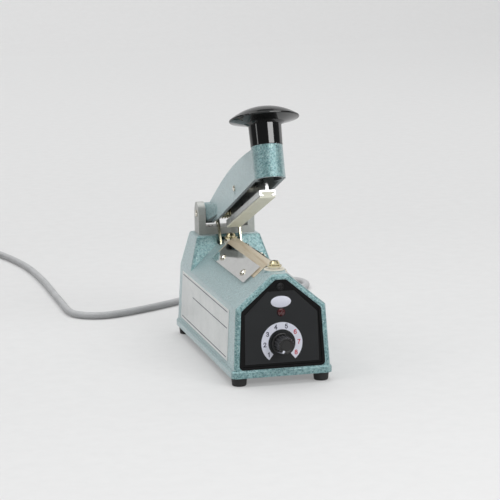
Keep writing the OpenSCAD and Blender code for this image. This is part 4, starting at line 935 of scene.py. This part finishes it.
@dataclass
class MainsLead:
    """Grey mains lead: out of its sleeve, over the floor as the photograph shows, and coiled out of view.

    Attributes:
        diameter: Lead's diameter.
        tip: Mouth of the sleeve that it leaves.
        straight: Length that it goes straight on from there.
        route: Points that it passes on the floor.
        route_steps: Parts of the curve between two of these points.
        coil_middle: Middle of the coil on the floor.
        coil_radius: Radius of its outer turn.
        coil_pitch: Room for each turn.
        coil_from: Angle in degrees at which the lead enters it.
        coil_turn: Degrees that the lead winds through.
        coil_low: Height of its lower layer.
        coil_steps: Points along it.
        run_in: Length of the straight run into it.
        tail: Length from its end to the plug.
        tail_steps: Points along the tail.
        round_steps: Smoothness of the lead's section.
    """

    diameter: float = 6.5
    tip: tuple = (0.0, 139.091, 24.0)
    straight: float = 8.0
    route: tuple = (
        (1, 158, 23.2),
        (6, 172, 20),
        (20, 188, 14),
        (40, 202, 8),
        (62, 214, 4.5),
        (84, 227, 3.3),
        (104, 240, 3.3),
        (116, 254, 3.3),
        (117, 272, 3.3),
        (105, 287.5, 3.3),
        (87, 291.5, 3.3),
        (68, 283, 3.3),
        (45, 265, 3.3),
        (16, 242, 3.3),
        (-13, 220.5, 3.3),
        (-45, 199.5, 3.3),
        (-76, 183.5, 3.3),
        (-95, 180.5, 3.3),
        (-110.5, 189, 3.3),
        (-117, 206, 3.3),
        (-118, 246, 3.3),
        (-118.5, 296, 3.3),
        (-119, 346, 3.3),
        (-121, 393, 3.3),
        (-125, 436, 3.3),
        (-131, 470, 3.3),
        (-138, 498, 3.5),
        (-147, 524, 4),
    )
    route_steps: int = 8
    coil_middle: tuple = (-193.0, 518.0)
    coil_radius: float = 39.5
    coil_pitch: float = 7.1
    coil_from: float = 55.0
    coil_turn: float = 1205.0
    coil_low: float = 4.5
    coil_steps: int = 240
    run_in: float = 9.0
    tail: float = 34.0
    tail_steps: int = 5
    round_steps: int = 4

    def coil(self, angle: np.ndarray) -> np.ndarray:
        """Places on the coil: a spiral that winds inwards, climbs a layer half way and winds out again.

        Args:
            angle: Degrees turned from the coil's mouth.

        Returns:
            Points in millimetres.
        """
        half = self.coil_turn / 2
        radius = self.coil_radius - self.coil_pitch * (half - np.abs(angle - half)) / 360
        climb = np.clip((angle - half + 90) / 180, 0, 1)
        turn = np.radians(self.coil_from + angle)
        x = self.coil_middle[0] + radius * np.cos(turn)
        y = self.coil_middle[1] + radius * np.sin(turn)
        z = self.coil_low + self.coil_pitch * (1 - np.cos(math.pi * climb)) / 2
        return np.stack([x, y, z], -1)

    def path(self) -> np.ndarray:
        """Whole middle line of the lead: a smooth curve over the floor, the coil and a straight tail.

        Returns:
            Points in millimetres, from the sleeve's tip to the plug.
        """
        tip = np.array(self.tip)
        turns = self.coil(np.linspace(0.0, self.coil_turn, self.coil_steps))
        way = unit(np.subtract(*self.coil(np.array([1.0, 0.0]))))
        mouth = turns[0] - way * self.diameter
        start = [tip, tip + (0, self.straight, 0)]
        floor = np.concatenate([start, self.route, [mouth - way * self.run_in, mouth]])
        end = turns[-1] + np.outer(np.linspace(0.0, self.tail, self.tail_steps)[1:], (0, -1, 0))
        return np.concatenate([smooth_path(floor, self.route_steps), turns, end])

    def build(self) -> None:
        """Make the lead as one open curve, in place of the imported cord."""
        path = self.path() * MM
        data = bpy.data.curves.new("mains_lead", "CURVE")
        data.dimensions = "3D"
        data.bevel_depth = self.diameter / 2 * MM
        data.bevel_resolution = self.round_steps
        data.use_fill_caps = True
        spline = data.splines.new("POLY")
        spline.points.add(len(path) - 1)
        spline.points.foreach_set("co", np.c_[path, np.ones(len(path))].ravel())
        spline.use_smooth = True
        data.materials.append(PVC.material())
        lead = in_scene("mains_lead", data)
        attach(lead, Body.BASE.value)
        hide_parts("cord_lead", "cord_coil")


# The body's plate, the panel and its dial


@dataclass
class SidePlate:
    """Plain white plate on the left wall, with thin printed rules.

    Attributes:
        foot: Foot of the wall, as x and z.
        eave: Upper edge of the wall, as x and z.
        front: Plate's front end along y.
        rear: Its rear end.
        low: Its lower edge, measured up the wall from the foot.
        high: Its upper edge.
        corner: Radius of its corners.
        thickness: Its thickness.
        bevel: Width of its bevel.
        rule: Width of a rule.
        rule_ink: Thickness of a rule.
        rule_bevel: Bevel of a rule.
        rule_corner: Radius of a rule's corners.
        rule_steps: Points on each of these corners.
        rule_margin: From a rule's ends to the plate's.
        rule_inset: From the outer rules to the plate's edges.
        rule_drop: From the short rule to the plate's upper edge.
        rule_short: Length of the short rule, as a share of the others.
        rule_shift: How far the short rule stands forward, as a share of that length.
    """

    foot: tuple = (-38.2, 13.0)
    eave: tuple = (-35.5, 60.3)
    front: float = -74.5
    rear: float = 95.0
    low: float = 3.0
    high: float = 43.0
    corner: float = 1.2
    thickness: float = 0.35
    bevel: float = 0.2
    rule: float = 0.7
    rule_ink: float = 0.03
    rule_bevel: float = 0.02
    rule_corner: float = 0.2
    rule_steps: int = 3
    rule_margin: float = 4.0
    rule_inset: float = 2.4
    rule_drop: float = 15.0
    rule_short: float = 0.76
    rule_shift: float = 0.12

    def wall(self) -> Plane:
        """The leaning left wall, measured from the plate's middle at the flange.

        Returns:
            Plane that goes up from the wall's foot to its eave.
        """
        up = unit(np.array([self.eave[0] - self.foot[0], 0.0, self.eave[1] - self.foot[1]]))
        across = np.array([0.0, -1.0, 0.0])
        origin = np.array([self.foot[0], (self.front + self.rear) / 2, self.foot[1]])
        return Plane(origin, across, up, np.cross(across, up))

    def build(self) -> None:
        """Lay the plate on the wall and its rules on the plate."""
        wall = self.wall()
        length = self.rear - self.front
        height = self.high - self.low
        lift = np.array([0.0, (self.low + self.high) / 2, 0.0])
        plate = film(rounded_box(length, height, self.corner), self.thickness, self.bevel) + lift
        piece("side_plate", [wall.at(plate)], Body.BASE, PLATE_WHITE)
        reach = length - 2 * self.rule_margin
        rows = (
            (0.0, self.high - self.rule_inset, reach),
            (self.rule_shift * reach, self.high - self.rule_drop, self.rule_short * reach),
            (0.0, self.low + self.rule_inset, reach),
        )
        rules = []
        for x, h, width in rows:
            outline = rounded_box(width, self.rule, self.rule_corner, self.rule_steps)
            rule = film(outline, self.rule_ink, self.rule_bevel) + (x, h, self.thickness)
            rules.append(wall.at(rule))
        piece("side_plate_rules", rules, Body.BASE, PRINT_NAVY)


# Middle lines of each number's strokes, across and up in a box one high
STROKES = {
    1: (((-0.16, 0.76), (0.08, 1.0)), ((0.08, 1.0), (0.08, 0.0))),
    2: (
        (
            (-0.27, 0.74), (-0.19, 0.93), (0.0, 1.0), (0.21, 0.92),
            (0.27, 0.72), (0.17, 0.5), (-0.08, 0.22), (-0.28, 0.0),
        ),
        ((-0.28, 0.0), (0.29, 0.0)),
    ),
    3: (
        ((-0.26, 0.82), (-0.12, 0.97), (0.06, 1.0), (0.24, 0.88), (0.24, 0.67), (0.08, 0.54), (-0.05, 0.53)),
        ((-0.05, 0.53), (0.14, 0.5), (0.28, 0.34), (0.26, 0.13), (0.08, 0.0), (-0.12, 0.02), (-0.28, 0.18)),
    ),
    4: (((0.14, 0.0), (0.14, 1.0)), ((0.14, 1.0), (-0.3, 0.3)), ((-0.3, 0.3), (0.31, 0.3))),
    5: (
        ((0.24, 1.0), (-0.18, 1.0)),
        ((-0.18, 1.0), (-0.24, 0.52)),
        (
            (-0.24, 0.52), (-0.05, 0.62), (0.16, 0.58), (0.28, 0.4),
            (0.26, 0.17), (0.08, 0.0), (-0.12, 0.01), (-0.28, 0.17),
        ),
    ),
    6: (
        (
            (0.25, 0.84), (0.1, 0.99), (-0.1, 0.96), (-0.24, 0.75), (-0.28, 0.45),
            (-0.26, 0.2), (-0.12, 0.02), (0.08, 0.0), (0.25, 0.14), (0.28, 0.36),
            (0.16, 0.56), (-0.02, 0.6), (-0.2, 0.5), (-0.28, 0.34),
        ),
    ),
    7: (((-0.28, 1.0), (0.29, 1.0)), ((0.29, 1.0), (0.1, 0.66), (-0.04, 0.32), (-0.09, 0.0))),
    8: (
        (
            (0.0, 0.54), (-0.2, 0.63), (-0.24, 0.82), (-0.1, 0.98),
            (0.1, 0.98), (0.24, 0.82), (0.2, 0.63), (0.0, 0.54),
        ),
        (
            (0.0, 0.54), (-0.24, 0.42), (-0.28, 0.2), (-0.12, 0.02),
            (0.12, 0.02), (0.28, 0.2), (0.24, 0.42), (0.0, 0.54),
        ),
    ),
}


@dataclass
class FrontPanel:
    """Dial scale, numbers, plain oval badge and the knob's pointer, on the leaning front panel.

    Attributes:
        film_depth: How far the film lies behind the panel's face.
        ring_outer: Outer radius of the dial's ring.
        ring_inner: Its inner radius.
        ring_gap: Half of its opening at the foot, in degrees.
        ring_steps: Points round it.
        ink: Thickness of the print.
        digits: Highest number.
        last_dark: Last number in dark ink.
        digit_height: Height of a number.
        digit_radius: From the dial's axis to a number's middle.
        digit_from: Angle of the first number from the foot, in degrees.
        digit_step: Angle between numbers.
        digit_stroke: Width of a stroke, as a share of the height.
        digit_layer: How far each stroke of a number stands above the last, in thicknesses of the print.
        curve_steps: Parts of a curved stroke between two of its points.
        badge: Width and height of the oval badge.
        badge_up: From the dial's axis up to its middle.
        badge_depth: Its thickness.
        badge_bevel: Width of its bevel.
        badge_steps: Points round it.
        knob_back: How far the knob's back lies behind the panel's face.
        knob_length: Knob's length.
        knob_skirt: Length of its skirt.
        cap_foot: Radius of a rib above the skirt.
        cap_tip: Radius of a rib at the front.
        cap_edge: Size of the knob's front edge.
        pointer_angle: Angle of the pointer at rest, in degrees.
        pointer_width: Its width.
        pointer_rise: How far it stands out of the knob.
        pointer_front: Length of its part on the knob's front.
    """

    film_depth: float = 0.55
    ring_outer: float = 16.2
    ring_inner: float = 10.7
    ring_gap: float = 39.5
    ring_steps: int = 120
    ink: float = 0.06
    digits: int = 8
    last_dark: int = 5
    digit_height: float = 3.1
    digit_radius: float = 13.45
    digit_from: float = 51.5
    digit_step: float = 36.2
    digit_stroke: float = 0.2
    digit_layer: float = 0.1
    curve_steps: int = 6
    badge: tuple = (15.9, 8.9)
    badge_up: float = 32.0
    badge_depth: float = 0.2
    badge_bevel: float = 0.3
    badge_steps: int = 64
    knob_back: float = 0.15
    knob_length: float = 14.0
    knob_skirt: float = 2.5
    cap_foot: float = 7.4
    cap_tip: float = 6.3
    cap_edge: float = 0.6
    pointer_angle: float = 240.0
    pointer_width: float = 1.5
    pointer_rise: float = 0.08
    pointer_front: float = 1.6

    def face(self) -> Plane:
        """The panel's plane.

        Returns:
            Plane with its origin on the dial's axis.
        """
        origin, inwards = joint("timer_turn")
        across = np.array([1.0, 0.0, 0.0])
        up = np.cross(across, inwards)
        return Plane(origin, across, up, -inwards)

    def dial_ring(self, face: Plane) -> None:
        """Printed ring, open at its foot: a flat profile carried round the dial and closed at both ends.

        Args:
            face: Panel's plane.
        """
        gap = math.radians(self.ring_gap)
        turn = np.linspace(gap, math.tau - gap, self.ring_steps)
        turn = np.concatenate([turn[:1], turn, turn[-1:]])
        low, high = -self.film_depth, -self.film_depth + self.ink
        inner, outer = self.ring_inner, self.ring_outer
        profile = np.array([[inner, low], [inner, high], [outer, high], [outer, low]])
        rows = np.repeat(profile[None], len(turn), 0)
        rows[[0, -1]] = profile.mean(0)
        x = -rows[..., 0] * np.sin(turn)[:, None]
        y = -rows[..., 0] * np.cos(turn)[:, None]
        local = np.stack([x, y, rows[..., 1]], -1)
        piece("dial_ring", [face.at(local)], Body.BASE, PRINT_WHITE)

    def stroke(self, points: tuple, spot: tuple, lift: float) -> np.ndarray:
        """One stroke of a number: a flat band of even width carried along its middle line.

        Args:
            points: Middle line across and up, in a box one high.
            spot: Place of the number's middle on the panel.
            lift: Height of the band's foot above the panel.

        Returns:
            Grid of points across, up and out.
        """
        line = smooth_path(np.array(points, float), self.curve_steps if len(points) > 2 else 1)
        way = unit(np.gradient(line, axis=0))
        half = self.digit_stroke / 2
        line[[0, -1]] += way[[0, -1]] * [[-half], [half]]
        side = half * np.stack([-way[:, 1], way[:, 0]], -1)
        edges = np.stack([line - side, line - side, line + side, line + side], 1)
        flat = (edges - (0.0, 0.5)) * self.digit_height + spot
        out = np.broadcast_to(lift + self.ink * np.array([0.0, 1.0, 1.0, 0.0]), flat.shape[:2])
        return np.dstack([flat, out])

    def dial_digits(self, face: Plane) -> None:
        """Print the dial's numbers upright round the ring, the high ones in red.

        Args:
            face: Panel's plane.
        """
        for name, numbers, ink in (
            ("dial_digits_dark", range(1, self.last_dark + 1), PRINT_NAVY),
            ("dial_digits_red", range(self.last_dark + 1, self.digits + 1), PRINT_RED),
        ):
            grids = []
            for number in numbers:
                turn = math.radians(self.digit_from + self.digit_step * (number - 1))
                spot = (-self.digit_radius * math.sin(turn), -self.digit_radius * math.cos(turn))
                for layer, points in enumerate(STROKES[number]):
                    lift = (1 + self.digit_layer * layer) * self.ink - self.film_depth
                    grids.append(face.at(self.stroke(points, spot, lift)))
            piece(name, grids, Body.BASE, ink, caps=True)

    def oval_badge(self, face: Plane) -> None:
        """Plain white oval plate: a thin film over an ellipse.

        Args:
            face: Panel's plane.
        """
        turn = np.linspace(0.0, math.tau, self.badge_steps, endpoint=False)
        oval = np.stack([self.badge[0] / 2 * np.cos(turn), self.badge[1] / 2 * np.sin(turn)], -1)
        spot = (0.0, self.badge_up, -self.film_depth)
        local = film(oval, self.badge_depth, self.badge_bevel) + spot
        piece("oval_badge", [face.at(local)], Body.BASE, PRINT_WHITE)

    def pointer(self, face: Plane) -> None:
        """White line along one rib of the timer knob, over its edge and on to its front.

        Its section is a small box, carried along the rib's outline and lifted a little out of it.

        Args:
            face: Panel's plane.
        """
        turn = math.radians(self.pointer_angle)
        reach = np.array([math.cos(turn), math.sin(turn)])
        across = np.array([-reach[1], reach[0]])
        edge = self.cap_tip - self.cap_edge
        line = np.array(
            [
                [self.cap_foot, self.knob_skirt],
                [self.cap_tip, self.knob_length - self.cap_edge],
                [edge, self.knob_length],
                [edge - self.pointer_front, self.knob_length],
            ]
        )
        # Share of the rise outwards and forwards at each point of the line
        push = np.array([[1.0, 0.0], [1.0, 0.15], [0.5, 0.9], [0.0, 1.0]]) * self.pointer_rise
        half = self.pointer_width / 2
        loops = []
        for spot, lift in zip(line, push):
            # The box goes twice as deep into the knob as it stands out of it
            low, high = spot - 2 * lift, spot + lift
            corners = [(low, -half), (high, -half), (high, half), (low, half)]
            loops.append([[*(reach * p[0] + across * w), p[1] - self.knob_back] for p, w in corners])
        local = np.array(loops)
        piece("knob_pointer", [face.at(local)], Body.KNOB, PRINT_WHITE, caps=True)

    def build(self) -> None:
        """Print the dial and dress the knob."""
        face = self.face()
        self.dial_ring(face)
        self.dial_digits(face)
        self.oval_badge(face)
        self.pointer(face)


# The sealing bed and the arm


@dataclass
class SealingCloth:
    """Glass cloth stretched over the ridge, clamped on both slopes.

    Attributes:
        slope: Angle of the slopes in degrees.
        ridge: Upper edge of a slope, as x and z.
        down: Length from there down to the hem.
        shoulder: Place where the cloth bends over to the crest, as x and z.
        crest: Edge of the crest, as x and z.
        crest_rise: How much higher the cloth lies in the middle.
        clearance: Height of its middle line above the slope.
        thickness: Its thickness.
        front: Its front end along y.
        rear: Its rear end.
        slope_steps: Points on a slope.
        crest_steps: Points on each part of the crest.
        rows: Rows along the ridge.
    """

    slope: float = 40.41
    ridge: tuple = (5.9, 85.5)
    down: float = 11.0
    shoulder: tuple = (2.85, 88.1)
    crest: tuple = (1.02, 88.46)
    crest_rise: float = 0.06
    clearance: float = 0.15
    thickness: float = 0.26
    front: float = -67.2
    rear: float = 52.4
    slope_steps: int = 12
    crest_steps: int = 4
    rows: int = 90

    def profile(self) -> np.ndarray:
        """Half of the cloth's middle line: straight up the slope, over the shoulder and along the crest.

        Returns:
            Points as x and z, from the hem to the middle.
        """
        a = math.radians(self.slope)
        way = np.array([math.cos(a), -math.sin(a)])
        lift = np.array([math.sin(a), math.cos(a)]) * self.clearance
        hem = np.array(self.ridge) + way * self.down + lift
        shoulder = np.array(self.shoulder) + lift
        crest = np.array(self.crest)
        part = np.linspace(0, 1, self.crest_steps)[1:, None]
        side = hem + np.linspace(0, 1, self.slope_steps)[:, None] * (shoulder - hem)
        cap = shoulder + part * (crest - shoulder)
        top = crest + part * (-crest[0], self.crest_rise)
        return np.concatenate([side, cap, top])

    def build(self) -> None:
        """Carry the profile along the ridge, with the flat place of each point as its UV."""
        half = self.profile()
        line = np.concatenate([half, (half * (-1, 1))[-2::-1]])
        y = np.linspace(self.front, self.rear, self.rows)
        grid = np.empty((len(y), len(line), 3))
        grid[..., 0] = line[:, 0]
        grid[..., 1] = y[:, None]
        grid[..., 2] = line[:, 1]
        along = np.concatenate([[0.0], np.cumsum(np.linalg.norm(np.diff(line, axis=0), axis=1))])
        uv = np.stack(np.broadcast_arrays(along[None, :], y[:, None]), -1) * MM
        cloth = piece("sealing_cloth", [grid], Body.BASE, CLOTH, wrap=False, uv=uv, crease=70)
        solid = cloth.modifiers.new("thickness", "SOLIDIFY")
        solid.thickness = self.thickness * MM
        solid.offset = 0.0
        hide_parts("ptfe_cloth")


@dataclass
class SiliconeStrip:
    """Cream silicone strip in the pressure bar's channel.

    Attributes:
        tilt: Angle in degrees by which the bar rises to the front at rest.
        depth: From the bar's pin down to the strip's face.
        front: From the pin to the strip's front end.
        rear: From the pin to its rear end.
        face_half: Half of the face's width.
        face_high: Thickness of the face.
        neck_half: Half of the neck's width.
        head_half: Half of the head's width.
        head_low: Height of the head's underside above the face.
        head_high: Height of the head's top.
        round: Size of the eased corners.
        round_most: Most of a side that a corner takes.
        round_steps: Points on each corner.
        rows: Rows along the strip.
    """

    tilt: float = 19.9
    depth: float = 19.75
    front: float = 56.2
    rear: float = 64.8
    face_half: float = 6.1
    face_high: float = 1.5
    neck_half: float = 3.25
    head_half: float = 4.85
    head_low: float = 2.85
    head_high: float = 4.65
    round: float = 0.45
    round_most: float = 0.4
    round_steps: int = 5
    rows: int = 40

    def outline(self) -> np.ndarray:
        """Section of the strip: a wide face, a neck between the channel's lips and a head behind them.

        Returns:
            Points across and up from the face, with eased corners.
        """
        half = [
            (self.face_half, 0.0),
            (self.face_half, self.face_high),
            (self.neck_half, self.face_high),
            (self.neck_half, self.head_low),
            (self.head_half, self.head_low),
            (self.head_half, self.head_high),
        ]
        points = np.array(half + [(-x, w) for x, w in reversed(half)])
        return self.eased(points)

    def eased(self, points: np.ndarray) -> np.ndarray:
        """Outline with each corner cut by a short arc, the quadratic curve between two points beside it.

        Args:
            points: Corners of the outline.

        Returns:
            Points of the eased outline.
        """
        before = np.roll(points, 1, 0) - points
        after = np.roll(points, -1, 0) - points
        shorter = np.minimum(*(np.linalg.norm(v, axis=1) for v in (before, after)))
        cut = np.minimum(self.round, self.round_most * shorter)[:, None]
        start = points + unit(before) * cut
        stop = points + unit(after) * cut
        t = np.linspace(0, 1, self.round_steps)[None, :, None]
        arcs = (1 - t) ** 2 * start[:, None] + 2 * t * (1 - t) * points[:, None] + t**2 * stop[:, None]
        return arcs.reshape(-1, 2)

    def build(self) -> None:
        """Carry the section along the bar."""
        pin, _ = joint("bar_rock")
        a = math.radians(self.tilt)
        forward = np.array([0.0, -math.cos(a), math.sin(a)])
        up = np.array([0.0, math.sin(a), math.cos(a)])
        outline = self.outline()
        along = np.linspace(-self.rear, self.front, self.rows)
        grid = (
            pin
            + along[:, None, None] * forward
            + outline[None, :, 0, None] * np.array([1.0, 0.0, 0.0])
            + (outline[None, :, 1, None] - self.depth) * up
        )
        strip = piece("silicone_strip", [grid], Body.BAR, SILICONE, caps=True, crease=50)
        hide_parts("silicone_pad")


@dataclass
class ReturnSpring:
    """Torsion spring round the hinge pin: its coil and standing leg stay, its other leg goes with the arm.

    Attributes:
        radius: Radius of the wire's middle line.
        wire: Diameter of the wire.
        pitch: Distance between turns.
        turns: Whole turns.
        end_angle: Degrees that the coil turns beyond these, up to the arm's leg.
        leg: Length of the arm's leg.
        seat: Height of the standing leg's foot.
        overlap: Degrees of the coil that the moving leg covers.
        cover: Thickness of the moving leg, as a share of the wire's.
        coil_steps: Points along the coil.
        stand_steps: Points along the standing leg.
        lap_steps: Points along the covered part.
        leg_steps: Points along the arm's leg.
    """

    radius: float = 5.2
    wire: float = 1.4
    pitch: float = 2.2
    turns: float = 5.0
    end_angle: float = 62.7
    leg: float = 16.0
    seat: float = 94.4
    overlap: float = 70.0
    cover: float = 1.03
    coil_steps: int = 200
    stand_steps: int = 6
    lap_steps: int = 16
    leg_steps: int = 8

    def sweep(self) -> float:
        """Degrees from the standing leg to the arm's leg."""
        return 360 * self.turns + self.end_angle

    def helix(self, angle: np.ndarray) -> np.ndarray:
        """Places on the coil: a circle round the hinge pin that moves along it by the pitch at each turn.

        Args:
            angle: Degrees from the standing leg.

        Returns:
            Points in millimetres.
        """
        pivot, _ = joint("arm_lift")
        turn = np.radians(angle)
        x = self.pitch * (angle - self.sweep() / 2) / 360
        return pivot + np.stack([x, self.radius * np.cos(turn), self.radius * np.sin(turn)], -1)

    def build(self) -> None:
        """Wind the coil, and lay the arm's leg over its last part, so that the wire stays whole."""
        sweep = self.sweep()
        coil = self.helix(np.linspace(0.0, sweep, self.coil_steps))
        foot = coil[0] * (1, 1, 0) + (0, 0, self.seat)
        stand = foot + np.linspace(0, 1, self.stand_steps)[:-1, None] * (coil[0] - foot)
        side = np.array([1.0, 0.0, 0.0])
        fixed = tube(np.concatenate([stand, coil]), self.wire / 2, side)
        coil_piece = piece("spring_coil", [fixed], Body.BASE, SPRING)
        last = self.helix(np.linspace(sweep - self.overlap, sweep, self.lap_steps))
        end = math.radians(self.end_angle)
        way = np.array([0.0, -math.sin(end), math.cos(end)])
        leg = last[-1] + np.linspace(0, self.leg, self.leg_steps)[1:, None] * way
        moving = tube(np.concatenate([last, leg]), self.wire / 2 * self.cover, side)
        leg_piece = piece("spring_leg", [moving], Body.ARM, SPRING)
        for made in (coil_piece, leg_piece):
            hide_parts("return_spring")


def main() -> None:
    """Build the studio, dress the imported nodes, and add each sub-assembly's own pieces."""
    logging.basicConfig(level=logging.INFO, format="%(message)s")
    Studio().build()
    MainsLead().build()
    dress_nodes()
    SidePlate().build()
    FrontPanel().build()
    SealingCloth().build()
    SiliconeStrip().build()
    ReturnSpring().build()


if __name__ == "__main__":
    main()
